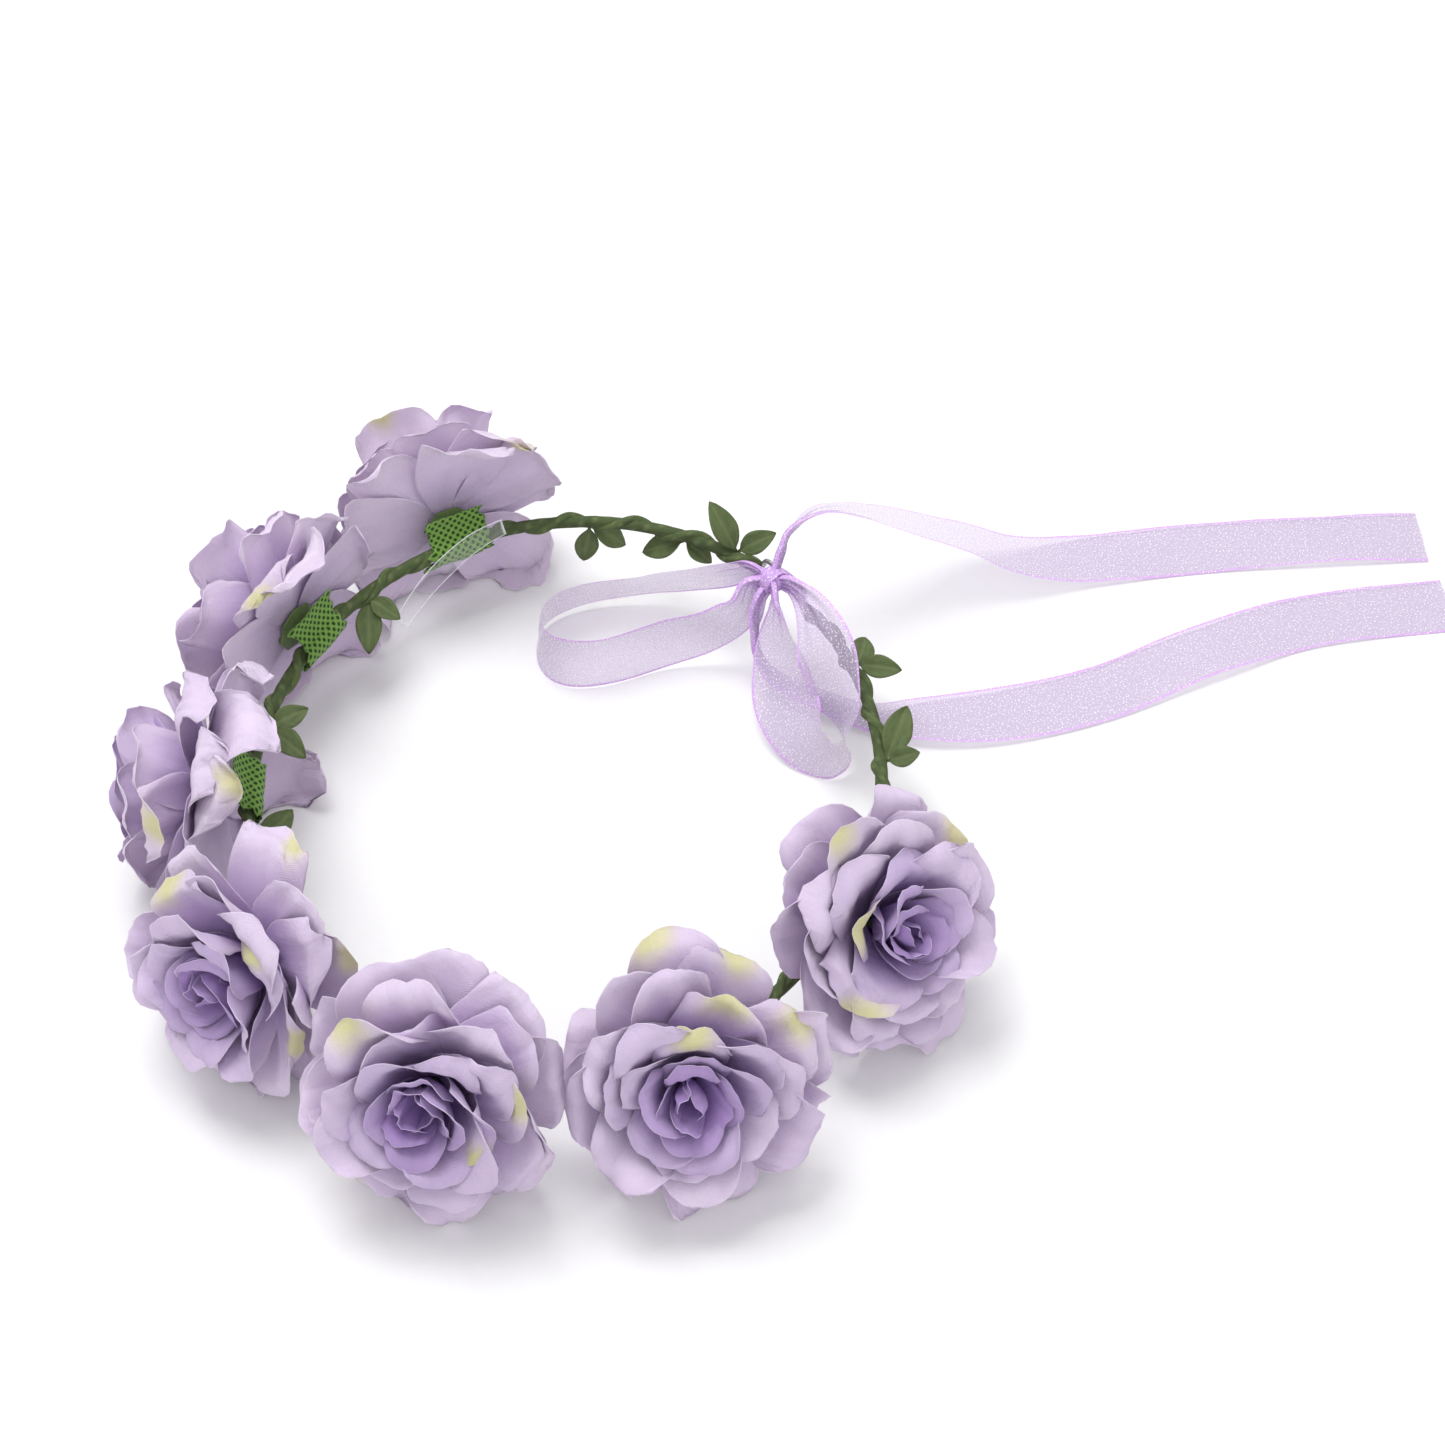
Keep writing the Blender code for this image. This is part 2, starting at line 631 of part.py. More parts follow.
def make_ribbon_knot():
    """The bow's knot, a ball of ribbon with a waist where the band crosses it."""
    sides = 10
    rows = 5
    points = [Vector((0.0, 0.0, -KNOT_RADII[2])), Vector((0.0, 0.0, KNOT_RADII[2]))]
    for row in range(1, rows + 1):
        rise = math.pi * row / (rows + 1)
        for step in range(sides):
            turn = 2 * math.pi * step / sides
            ripple = 1 - 0.06 * (step % 2)
            points.append(
                Vector((
                    KNOT_RADII[0] * math.sin(rise) * math.cos(turn) * ripple,
                    KNOT_RADII[1] * math.sin(rise) * math.sin(turn) * ripple,
                    -KNOT_RADII[2] * math.cos(rise),
                ))
            )
    faces = []
    for step in range(sides):
        after = (step + 1) % sides
        faces.append((0, 2 + after, 2 + step))
        top = 2 + (rows - 1) * sides
        faces.append((1, top + step, top + after))
        for row in range(rows - 1):
            here = 2 + row * sides
            faces.append((here + step, here + after, here + sides + after, here + sides + step))
    add_node("ribbon_knot", points, faces, "organza", knot_frame())


def make_ribbon_run(name, rows, steps):
    """A loop or a tail of the bow. Its origin is the knot, which it turns about."""
    knot = knot_point()
    points, faces = strip(spline(rows, steps), RIBBON_THICKNESS, knot)
    add_node(name, points, faces, "organza", Matrix.Translation(knot))


def make_clear_tag():
    """Curved strip of clear film inside the ring, standing on its edge."""
    points, faces = strip(spline(TAG_PATH, 3), TAG_THICKNESS, Vector((0.0, 0.0, 0.0)))
    add_node("clear_tag_band", points, faces, "clear_film")


def main():
    for old in list(bpy.data.objects):
        bpy.data.objects.remove(old)
    make_frame_wire()
    make_vine_wrap()
    make_vine_twine()
    for index in range(len(ROSES)):
        make_rose(index)
    for index, pair in enumerate(LEAF_PAIRS):
        make_leaf_pair(f"leaf_pair_{index + 1}", pair)
    make_ribbon_tie()
    make_ribbon_knot()
    make_ribbon_run("ribbon_loop_left", LOOP_LEFT, 2)
    make_ribbon_run("ribbon_loop_right", LOOP_RIGHT, 2)
    make_ribbon_run("ribbon_tail_1", TAIL_1, 3)
    make_ribbon_run("ribbon_tail_2", TAIL_2, 3)
    make_clear_tag()


main()
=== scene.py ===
"""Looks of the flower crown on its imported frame: fabric roses, a papered vine and an organza bow.

Lengths of the crown are in millimetres until they reach a mesh, and angles are in degrees. The floor,
the lights and the camera are in metres, and so are lengths inside materials. The frame's origin is the
centre of the head opening, on the table that the crown lies on.
"""

import math
import random

import bpy
from mathutils import Matrix, Vector, noise


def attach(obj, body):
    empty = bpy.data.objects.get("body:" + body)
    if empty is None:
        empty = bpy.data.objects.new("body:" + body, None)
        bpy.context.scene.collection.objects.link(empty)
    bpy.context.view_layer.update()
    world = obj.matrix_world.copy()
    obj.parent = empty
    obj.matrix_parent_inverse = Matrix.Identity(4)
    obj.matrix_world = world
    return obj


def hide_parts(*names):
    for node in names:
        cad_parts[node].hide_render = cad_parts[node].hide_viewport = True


MM = 0.001
UP = Vector((0.0, 0.0, 1.0))
ROOT = "crown"

# The ring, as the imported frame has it.
RING_HALF_X = 84.5
RING_HALF_Y = 95.3
RING_TURN = -10.7
RING_HEIGHT = 26.0
RING_SLANT = 2.5
RING_HIGH_SIDE = 166.0
GAP_AZIMUTH = 50.0
KNOT_INWARD = 5.0
KNOT_LIFT = 6.8

# Rose heads: azimuth on the ring, azimuth and elevation the flower faces, roll.
ROSES = (
    (112.0, 112.0, 4.0, 18.0),
    (146.0, 146.0, 4.0, -5.0),
    (184.5, 170.0, -3.0, 44.0),
    (218.5, 234.0, 18.0, 21.0),
    (253.0, 262.0, 28.0, -2.0),
    (290.0, 277.0, 28.0, 47.0),
    (329.0, 313.0, 33.0, 24.0),
)
# Petals bend outward along the table below BEND_TOP, and lie flat on it from BEND_FLAT down.
BEND_TOP = 7.0
BEND_FLAT = 3.0
BEND_SPLAY = 0.35
# A petal never goes past SECTOR_REACH times the half way mark to the next rose, and runs free up to
# SECTOR_FREE of that. Where there is no next rose, one is assumed SECTOR_OPEN away.
SECTOR_FREE = 0.5
SECTOR_REACH = 1.12
SECTOR_OPEN = 50.0

# Petal layers from the back of a rose to its heart. The section is (distance from the axis, height
# above the vine) from the petals' roots to their tips.
#   petals: how many            half: half of a petal's width     wrap: how far it follows the round
#   cup: how far its sides rise  lean: how far one side lies over the next petal
#   deep: how purple it is at its root and at its tip, partly dye and partly painted shade
LAYERS = (
    {"piece": "outer", "petals": 5, "half": 12.4, "wrap": 0.10, "cup": 2.6, "lean": 0.9, "turn": 0.0,
     "deep": (0.40, 0.0), "section": ((2.4, 8.9), (12.0, 9.6), (24.0, 11.6), (33.0, 13.6), (39.0, 12.2))},
    {"piece": "outer", "petals": 5, "half": 12.0, "wrap": 0.15, "cup": 2.8, "lean": 1.0, "turn": 36.0,
     "deep": (0.46, 0.01), "section": ((2.4, 9.6), (12.0, 11.0), (23.5, 14.6), (31.5, 17.8), (37.2, 17.2))},
    {"piece": "middle", "petals": 5, "half": 11.8, "wrap": 0.25, "cup": 2.6, "lean": 1.2, "turn": 12.0,
     "deep": (0.52, 0.02), "section": ((2.4, 10.4), (11.0, 12.6), (21.0, 17.8), (28.5, 22.6), (34.2, 22.8))},
    {"piece": "middle", "petals": 5, "half": 11.4, "wrap": 0.38, "cup": 2.2, "lean": 1.3, "turn": 50.0,
     "deep": (0.60, 0.03), "section": ((2.4, 11.2), (9.6, 14.0), (18.0, 20.8), (24.4, 26.8), (30.2, 27.6))},
    {"piece": "middle", "petals": 5, "half": 11.0, "wrap": 0.55, "cup": 1.6, "lean": 1.4, "turn": 20.0,
     "deep": (0.76, 0.12), "section": ((2.3, 12.2), (7.8, 15.2), (14.4, 22.8), (19.6, 29.4), (25.4, 30.8))},
    {"piece": "inner", "petals": 5, "half": 10.2, "wrap": 0.75, "cup": 0.8, "lean": 1.5, "turn": 55.0,
     "deep": (1.0, 0.32), "section": ((2.2, 13.2), (6.6, 17.2), (11.4, 24.6), (15.0, 30.4), (19.6, 32.2))},
    {"piece": "inner", "petals": 4, "half": 9.0, "wrap": 0.85, "cup": 0.4, "lean": 1.6, "turn": 5.0,
     "deep": (1.0, 0.55), "section": ((2.0, 15.0), (5.0, 19.5), (8.2, 26.0), (10.4, 30.6), (13.4, 32.6))},
    {"piece": "bud", "petals": 3, "half": 7.4, "wrap": 0.8, "cup": 0.0, "lean": 1.5, "turn": 40.0,
     "deep": (1.0, 0.68), "section": ((1.4, 16.6), (3.6, 21.0), (5.6, 26.4), (6.8, 30.4), (7.6, 32.6))},
    {"piece": "bud", "petals": 3, "half": 5.2, "wrap": 0.6, "cup": 0.0, "lean": 1.2, "turn": 100.0,
     "deep": (1.0, 0.72), "section": ((0.9, 17.4), (2.2, 21.5), (3.4, 26.4), (3.4, 29.6), (1.8, 32.2))},
)
# How far the three backmost petal layers of each rose bend back towards the head.
REFLEX = (12.0, 16.0, 28.0, 8.0, 3.0, 3.0, 3.0)
REFLEX_SHARE = {0: 1.0, 1: 0.8, 2: 0.35}
# Painted light: how much deeper each rose is coloured than the palest cloth, the first palest as if lit
# most.
ROSE_PAINTED_LIGHT = (0.0, 0.06, 0.08, 0.13, 0.13, 0.13, 0.13)
# Petals pushed out of their row, over the felt pad: (layer, direction) for each rose that has one.
LOOSE_PETALS = {2: (0, 48.0)}
PETAL_THICKNESS = 0.13
LAVENDER = (0.80, 0.675, 0.85)
PURPLE = (0.37, 0.225, 0.56)
YELLOW_GREEN = (0.66, 0.63, 0.30)
CUT_EDGE = (0.86, 0.8, 0.9)
# Yellow-green petal tips of each rose: (layer, direction, place across the tip, size). The direction
# is seen facing the flower: 0 to its side along the ring, 90 up.
SPOTS = (
    ((1, 130.0, 0.3, 0.55), (3, 60.0, 0.0, 0.4)),
    ((1, 60.0, -0.3, 0.5), (2, 250.0, 0.4, 0.5)),
    ((2, 20.0, 0.2, 0.6), (1, 250.0, -0.4, 0.55), (0, 60.0, 0.3, 0.45)),
    ((3, 100.0, 0.2, 0.6), (0, 75.0, -0.5, 0.45), (4, 40.0, 0.7, 0.55), (3, -15.0, 0.0, 0.65),
     (0, 5.0, 0.3, 0.6)),
    ((3, 100.0, 0.0, 0.55), (5, -12.0, -0.6, 0.65), (3, -20.0, 0.2, 0.6), (2, 265.0, 0.0, 0.35)),
    ((0, 97.0, 0.4, 0.6), (1, 66.0, -0.1, 0.55), (3, 87.0, 0.2, 0.65), (2, 45.0, 0.3, 0.6),
     (5, 85.0, 0.0, 0.7)),
    ((2, 125.0, 0.2, 0.55), (2, 40.0, -0.5, 0.5), (5, 175.0, 0.0, 0.95), (4, 212.0, 0.4, 0.6)),
)
# Where a petal's grid has its lines: from side to side, and from root to tip.
ACROSS = (-1.0, -0.975, -0.89, -0.76, -0.62, -0.47, -0.31, -0.15, 0.0, 0.15, 0.31, 0.47, 0.62, 0.76, 0.89,
          0.975, 1.0)
ALONG = (0.0, 0.1, 0.2, 0.32, 0.44, 0.56, 0.66, 0.75, 0.83, 0.9, 0.955, 0.985, 1.0)

# Leaf pairs: azimuth on the ring, direction round the vine, then for each of the two leaves its turn
# from that direction, its slant along the vine and its length.
LEAF_PAIRS = (
    (88.0, -95.0, (-8.0, 8.0, 12.0), (10.0, -52.0, 13.0)),
    (71.0, -105.0, (-12.0, 60.0, 13.0), (10.0, -60.0, 9.0)),
    (61.0, 70.0, (10.0, 38.0, 15.0), (-20.0, -40.0, 11.0)),
    (28.0, -10.0, (15.0, -32.0, 11.0), (0.0, 52.0, 12.0)),
    (5.0, 25.0, (5.0, 62.0, 17.0), (-15.0, 10.0, 8.0)),
    (132.5, -145.0, (5.0, 38.0, 14.0), (-20.0, -12.0, 9.0)),
    (169.0, 180.0, (5.0, 32.0, 12.0), (-10.0, -38.0, 10.0)),
    (198.0, 170.0, (0.0, -42.0, 14.0), (10.0, 42.0, 12.0)),
)
LEAF_HALF_WIDTH = 3.7
LEAF_THICKNESS = 0.25
LEAF_ROOT = 1.5
LEAF_STEPS = 12
LEAF_FACE = Vector((0.15, -0.5, 0.85))

# The wrapped wire and the strand wound round it: radius, distance from the ring's gap to their ends,
# and distance between the rings of points along them.
VINE_R = 1.7
VINE_START = 8.0
VINE_SPACING = 1.4
STRAND_R = 1.15
STRAND_START = 9.0
STRAND_SPACING = 1.0
STRAND_HELIX_R = 1.75
STRAND_PITCH = 19.0
PAPER_LAP = 5.0

PAD_R = 3.75
PAD_LENGTH = 18.0
PAD_THICKNESS = 0.45
PAD_STEPS = 12
PAD_RAGGED = 2.4
PAD_WING = ((6.9, 1.5), (10.2, 2.4))

# Ribbon runs: (x, y, height, lean, width). Each also gets a point inside the knot, at this share of the
# way from the knot's middle to its first row, and is gathered over this length from there.
RIBBON_FLAT_WIDTH = 20.0
RIBBON_KNOT_WIDTH = 3.6
RIBBON_KNOT_SHARE = 0.35
RIBBON_GATHER = 34.0
TABLE_GAP = 0.25
RIBBON_ACROSS = (-1.0, -0.955, -0.9, -0.75, -0.6, -0.45, -0.3, -0.15, 0.0, 0.15, 0.3, 0.45, 0.6, 0.75, 0.9,
                 0.955, 1.0)
LOOP_LEFT = (
    (49.2, 65.5, 31.0, 0.0, 6.0),
    (46.5, 64.5, 22.5, 0.0, 12.0),
    (38.0, 63.8, 14.0, 0.0, 17.0),
    (24.0, 61.0, 10.8, 0.0, 20.0),
    (6.0, 54.5, 10.6, 0.0, 20.0),
    (-6.5, 56.0, 10.6, 0.0, 20.0),
    (-11.0, 65.0, 10.8, 8.0, 20.0),
    (-7.0, 75.5, 11.0, 20.0, 20.0),
    (5.0, 81.0, 11.6, 27.0, 20.0),
    (21.0, 82.0, 13.5, 27.0, 19.0),
    (36.0, 79.0, 19.5, 22.0, 15.0),
    (46.0, 74.0, 27.5, 10.0, 9.0),
    (49.9, 71.2, 32.0, 0.0, 5.5),
)
LOOP_RIGHT = (
    (56.5, 60.9, 32.5, 0.0, 6.0),
    (56.6, 57.5, 28.5, -24.0, 10.0),
    (57.4, 51.0, 18.5, -46.0, 17.0),
    (59.2, 41.0, 12.2, -54.0, 20.0),
    (62.4, 31.5, 10.6, -44.0, 20.0),
    (66.2, 24.4, 10.4, -20.0, 20.0),
    (70.8, 20.4, 10.8, -2.0, 20.0),
    (75.0, 21.4, 12.4, 3.0, 20.0),
    (75.7, 27.0, 16.8, 8.0, 20.0),
    (73.0, 34.5, 23.6, 32.0, 20.0),
    (69.9, 43.5, 30.6, 50.0, 18.0),
    (66.4, 55.0, 32.8, 36.0, 12.0),
    (61.5, 62.8, 33.8, 10.0, 6.0),
)
TAIL_1 = (
    (58.3, 72.6, 38.0, 0.0, 5.0),
    (61.0, 77.5, 41.0, 20.0, 8.0),
    (71.0, 85.5, 41.0, 55.0, 14.0),
    (90.0, 92.5, 31.0, 70.0, 19.0),
    (110.0, 97.5, 18.0, 74.0, 20.0),
    (130.0, 99.5, 7.5, 80.0, 20.0),
    (152.0, 103.8, 1.6, 88.0, 20.0),
    (184.0, 108.7, 0.7, 90.0, 20.0),
    (218.0, 111.7, 1.6, 86.0, 20.0),
    (252.0, 113.7, 0.7, 90.0, 20.0),
)
TAIL_2 = (
    (52.0, 62.8, 28.0, 10.0, 4.0),
    (50.8, 61.0, 18.0, 12.0, 4.5),
    (52.3, 57.5, 9.0, 40.0, 5.5),
    (58.0, 52.3, 5.2, 65.0, 7.0),
    (70.0, 46.0, 4.0, 78.0, 8.0),
    (84.0, 41.2, 2.4, 88.0, 10.0),
    (99.0, 40.6, 2.8, 85.0, 17.0),
    (121.0, 43.0, 1.8, 88.0, 20.0),
    (149.0, 51.0, 0.7, 90.0, 20.0),
    (181.0, 66.5, 1.8, 86.0, 20.0),
    (214.0, 79.5, 0.8, 90.0, 20.0),
    (256.0, 86.0, 0.7, 90.0, 20.0),
)
# The clear film band, in the same form as a ribbon run.
TAG_PATH = (
    (-20.5, 84.0, 36.0, 5.0, 7.0),
    (-30.0, 78.5, 34.0, 10.0, 8.0),
    (-41.0, 71.0, 27.0, 15.0, 8.0),
    (-50.0, 62.5, 18.5, 10.0, 7.0),
)
TAG_NARROWED = 0.85
TAG_THICKNESS = 0.2

KNOT_HALF_LENGTH = 4.0
KNOT_HALF_DEPTH = 3.5
KNOT_HALF_HEIGHT = 3.4
TIE_STEPS = 48
TIE_R = 0.85
TIE_LIFT = 2.8
TIE_HALF_LENGTH = 5.5
TIE_HALF_WIDTH = 2.1

# The stage, in metres. Lights: name, place, size and power in watts.
FLOOR_HALF = 15.0
WORLD_STRENGTH = 0.70
LIGHTS = (
    ("key_light", (-0.25, 0.35, 1.3), 0.8, 12.0),
    ("fill_light", (0.3, -1.0, 0.9), 1.2, 3.2),
)
CAMERA_TARGET = (0.0418, 0.0240, 0.0205)
CAMERA_ELEVATION = 50.0
CAMERA_DISTANCE = 0.832
CAMERA_LENS = 75.0
CAMERA_SENSOR = 36.0


# ---------------------------------------------------------------- materials


def new_material(name, **sockets):
    """(material, shader, nodes, links) with these values set on the Principled shader's own sockets."""
    made = bpy.data.materials.new(name)
    made.use_nodes = True
    nodes = made.node_tree.nodes
    shader = nodes["Principled BSDF"]
    for socket, value in sockets.items():
        shader.inputs[socket.replace("_", " ")].default_value = value
    return made, shader, nodes, made.node_tree.links


def attribute(nodes, name, vector=False):
    """Output that reads a mesh attribute, as a number or as a vector."""
    node = nodes.new("ShaderNodeAttribute")
    node.attribute_name = name
    return node.outputs["Vector" if vector else "Fac"]


def math_node(nodes, links, operation, *values):
    """Output of a Math node whose inputs are numbers or other outputs."""
    node = nodes.new("ShaderNodeMath")
    node.operation = operation
    for slot, value in zip(node.inputs, values):
        if isinstance(value, (int, float)):
            slot.default_value = value
        else:
            links.new(value, slot)
    return node.outputs[0]


def clamped(nodes, links, value):
    """Output that keeps a value between 0 and 1."""
    node = nodes.new("ShaderNodeClamp")
    links.new(value, node.inputs["Value"])
    return node.outputs[0]


def mix_colour(nodes, links, factor, first, second):
    """Output that mixes two colours, each a tuple or another output."""
    node = nodes.new("ShaderNodeMix")
    node.data_type = "RGBA"
    slots = (node.inputs["Factor"], node.inputs[6], node.inputs[7])
    for slot, value in zip(slots, (factor, first, second)):
        if isinstance(value, (int, float)):
            slot.default_value = value
        elif isinstance(value, tuple):
            slot.default_value = (*value, 1.0)
        else:
            links.new(value, slot)
    return node.outputs[2]


def noise_output(nodes, links, vector, scale, detail=2.0, roughness=0.5):
    """Noise from 0 to 1 at this scale of the vector."""
    node = nodes.new("ShaderNodeTexNoise")
    node.inputs["Scale"].default_value = scale
    node.inputs["Detail"].default_value = detail
    node.inputs["Roughness"].default_value = roughness
    links.new(vector, node.inputs["Vector"])
    return node.outputs["Fac"]


def stretched(nodes, links, vector, scale):
    """Output that scales a vector by its own amount along each axis."""
    node = nodes.new("ShaderNodeMapping")
    node.inputs["Scale"].default_value = scale
    links.new(vector, node.inputs["Vector"])
    return node.outputs[0]


def thread_output(nodes, links, cloth, pitch):
    """Plain weave from 0 to 1: threads both ways, one thread to each pitch of the cloth."""
    split = nodes.new("ShaderNodeSeparateXYZ")
    links.new(cloth, split.inputs[0])
    waves = []
    for axis in range(2):
        turned = math_node(nodes, links, "MULTIPLY", split.outputs[axis], 2 * math.pi / pitch)
        waves.append(math_node(nodes, links, "SINE", turned))
    both = math_node(nodes, links, "MULTIPLY", waves[0], waves[1])
    return math_node(nodes, links, "MULTIPLY_ADD", both, 0.5, 0.5)


def bump(nodes, links, shader, height, strength, distance):
    """Drives the shader's normal from a height."""
    node = nodes.new("ShaderNodeBump")
    node.inputs["Strength"].default_value = strength
    node.inputs["Distance"].default_value = distance
    links.new(height, node.inputs["Height"])
    links.new(node.outputs[0], shader.inputs["Normal"])


def petal_material(name, pale, deep, tip):
    """Woven cloth: deeper at the root, partly painted shade, pale cut edges, some yellow-green tips."""
    made, shader, nodes, links = new_material(
        name, Roughness=0.82, Sheen_Weight=0.15, Sheen_Roughness=0.5, Specular_IOR_Level=0.2,
        Subsurface_Weight=0.1, Subsurface_Scale=0.002,
    )
    shader.inputs["Subsurface Radius"].default_value = (1.0, 0.75, 1.0)
    cloth = attribute(nodes, "cloth", vector=True)
    cloud = noise_output(nodes, links, cloth, 130.0, 3.0)
    fibre = noise_output(nodes, links, cloth, 2600.0, 2.0)
    depth = math_node(nodes, links, "MULTIPLY_ADD", cloud, 0.24, -0.12)
    # deep adds purple towards the root: partly the cloth's dye, partly painted shade where petals overlap.
    depth = math_node(nodes, links, "ADD", attribute(nodes, "deep"), depth)
    dye_and_painted_light = mix_colour(nodes, links, math_node(nodes, links, "MAXIMUM", depth, 0.0), pale, deep)
    ragged = math_node(nodes, links, "MULTIPLY_ADD", cloud, 0.8, 0.55)
    spot = math_node(nodes, links, "MULTIPLY", attribute(nodes, "spot"), ragged)
    spot = math_node(nodes, links, "MINIMUM", spot, 0.9)
    dye_and_painted_light = mix_colour(nodes, links, spot, dye_and_painted_light, tip)
    fine = math_node(nodes, links, "MULTIPLY_ADD", fibre, 0.16, 0.92)
    tinted = nodes.new("ShaderNodeVectorMath")
    tinted.operation = "SCALE"
    links.new(dye_and_painted_light, tinted.inputs[0])
    links.new(fine, tinted.inputs["Scale"])
    edge = math_node(nodes, links, "MULTIPLY", attribute(nodes, "edge"), 0.4)
    final = mix_colour(nodes, links, edge, tinted.outputs[0], CUT_EDGE)
    links.new(final, shader.inputs["Base Color"])
    weave = thread_output(nodes, links, cloth, 0.0006)
    crease = noise_output(nodes, links, cloth, 260.0, 4.0, 0.6)
    pleats = stretched(nodes, links, cloth, (620.0, 55.0, 1.0))
    pleat = noise_output(nodes, links, pleats, 1.0, 2.0)
    height = math_node(nodes, links, "MULTIPLY_ADD", pleat, 0.9, crease)
    height = math_node(nodes, links, "MULTIPLY_ADD", weave, 0.25, height)
    bump(nodes, links, shader, height, 0.7, 0.0006)
    return made


def organza_material():
    """Sheer woven ribbon: see-through threads, painted white glints, thick selvedges, denser where gathered.
    """
    made, shader, nodes, links = new_material(
        "organza_cloth", Roughness=0.42, Sheen_Weight=0.25, Sheen_Roughness=0.3, Specular_IOR_Level=0.4
    )
    cloth = attribute(nodes, "cloth", vector=True)
    weave = thread_output(nodes, links, cloth, 0.0007)
    streak = stretched(nodes, links, cloth, (3000.0, 160.0, 1.0))
    slub = noise_output(nodes, links, streak, 1.0, 1.0)
    # Painted highlight: small white specks that stand in for light glinting on the threads.
    painted_glint = noise_output(nodes, links, cloth, 1900.0, 0.0)
    painted_glint = clamped(nodes, links, math_node(nodes, links, "MULTIPLY_ADD", painted_glint, 6.0, -3.5))
    selvedge = attribute(nodes, "edge")
    gather = attribute(nodes, "gather")
    painted_glint_mix = math_node(nodes, links, "MULTIPLY", painted_glint, 0.7)
    colour = mix_colour(nodes, links, selvedge, (0.58, 0.47, 0.68), (0.66, 0.38, 0.80))
    colour = mix_colour(nodes, links, gather, colour, (0.62, 0.36, 0.80))
    colour = mix_colour(nodes, links, painted_glint_mix, colour, (1.0, 0.97, 1.0))
    links.new(colour, shader.inputs["Base Color"])
    cover = math_node(nodes, links, "MULTIPLY_ADD", slub, 0.35, 0.34)
    cover = math_node(nodes, links, "MULTIPLY_ADD", weave, 0.10, cover)
    cover = math_node(nodes, links, "MULTIPLY_ADD", painted_glint, 0.3, cover)
    cover = math_node(nodes, links, "MULTIPLY_ADD", selvedge, 0.4, cover)
    cover = math_node(nodes, links, "MULTIPLY_ADD", gather, 0.4, cover)
    links.new(clamped(nodes, links, cover), shader.inputs["Alpha"])
    bump(nodes, links, shader, weave, 0.3, 0.0001)
    return made


def paper_material(name, dark, light, roughness=0.72):
    """Waxed twisted paper: streaks along the strip, darker and lighter in random cloudy patches."""
    made, shader, nodes, links = new_material(name, Roughness=roughness, Specular_IOR_Level=0.3)
    cloth = attribute(nodes, "cloth", vector=True)
    streak = stretched(nodes, links, cloth, (900.0, 220.0, 900.0))
    grain = noise_output(nodes, links, streak, 1.0, 4.0, 0.65)
    cloud = noise_output(nodes, links, cloth, 160.0, 2.0)
    cloudy = math_node(nodes, links, "MULTIPLY_ADD", cloud, 0.7, -0.2)
    mottle = clamped(nodes, links, math_node(nodes, links, "MULTIPLY_ADD", grain, 0.7, cloudy))
    colour = mix_colour(nodes, links, mottle, dark, light)
    worn = math_node(nodes, links, "MULTIPLY", attribute(nodes, "edge"), 0.3)
    colour = mix_colour(nodes, links, worn, colour, (0.25, 0.30, 0.13))
    links.new(colour, shader.inputs["Base Color"])
    bump(nodes, links, shader, grain, 0.55, 0.0003)
    return made


def felt_material():
    """Bright green non-woven cloth, punched with staggered rows of small holes, painted dark as shade."""
    made, shader, nodes, links = new_material(
        "punched_felt", Roughness=0.9, Sheen_Weight=0.15, Specular_IOR_Level=0.1
    )
    cloth = attribute(nodes, "cloth", vector=True)
    nearest = None
    for shift in (0.0, 0.5):
        scaled = nodes.new("ShaderNodeVectorMath")
        scaled.operation = "MULTIPLY_ADD"
        scaled.inputs[1].default_value = (430.0, 430.0, 0.0)
        scaled.inputs[2].default_value = (shift, shift, 0.5)
        links.new(cloth, scaled.inputs[0])
        cell = nodes.new("ShaderNodeVectorMath")
        cell.operation = "FRACTION"
        links.new(scaled.outputs[0], cell.inputs[0])
        distance = nodes.new("ShaderNodeVectorMath")
        distance.operation = "DISTANCE"
        distance.inputs[1].default_value = (0.5, 0.5, 0.5)
        links.new(cell.outputs[0], distance.inputs[0])
        near = distance.outputs["Value"]
        nearest = near if nearest is None else math_node(nodes, links, "MINIMUM", nearest, near)
    solid = clamped(nodes, links, math_node(nodes, links, "MULTIPLY_ADD", nearest, 7.0, -1.1))
    fibre = noise_output(nodes, links, cloth, 1800.0, 3.0)
    green = mix_colour(nodes, links, fibre, (0.11, 0.24, 0.04), (0.24, 0.42, 0.10))
    # Painted shade: the holes get a near-black colour, for the shade inside them.
    colour = mix_colour(nodes, links, solid, (0.02, 0.06, 0.01), green)
    links.new(colour, shader.inputs["Base Color"])
    bump(nodes, links, shader, solid, 0.6, 0.0003)
    return made


def film_material():
    """Clear plastic film: nearly invisible on its face, painted white highlight along its cut edges."""
    made, shader, nodes, links = new_material(
        "clear_film_gloss", Roughness=0.06, Specular_IOR_Level=0.8, Coat_Weight=0.6
    )
    shader.inputs["Base Color"].default_value = (0.94, 0.95, 0.97, 1.0)
    cloth = attribute(nodes, "cloth", vector=True)
    smear = noise_output(nodes, links, cloth, 180.0, 2.0)
    alpha = math_node(nodes, links, "MULTIPLY_ADD", smear, 0.10, 0.02)
    # Painted highlight: the cut edges turn nearly opaque white.
    alpha = math_node(nodes, links, "MULTIPLY_ADD", attribute(nodes, "edge"), 0.7, alpha)
    links.new(alpha, shader.inputs["Alpha"])
    return made


def moulded_material():
    """Green moulded plastic of the calyx, with a fine grain."""
    made, shader, nodes, links = new_material("calyx_plastic", Roughness=0.5)
    place = nodes.new("ShaderNodeTexCoord").outputs["Object"]
    grain = noise_output(nodes, links, place, 900.0, 3.0)
    colour = mix_colour(nodes, links, grain, (0.10, 0.17, 0.05), (0.19, 0.28, 0.10))
    links.new(colour, shader.inputs["Base Color"])
    bump(nodes, links, shader, grain, 0.25, 0.0002)
    return made


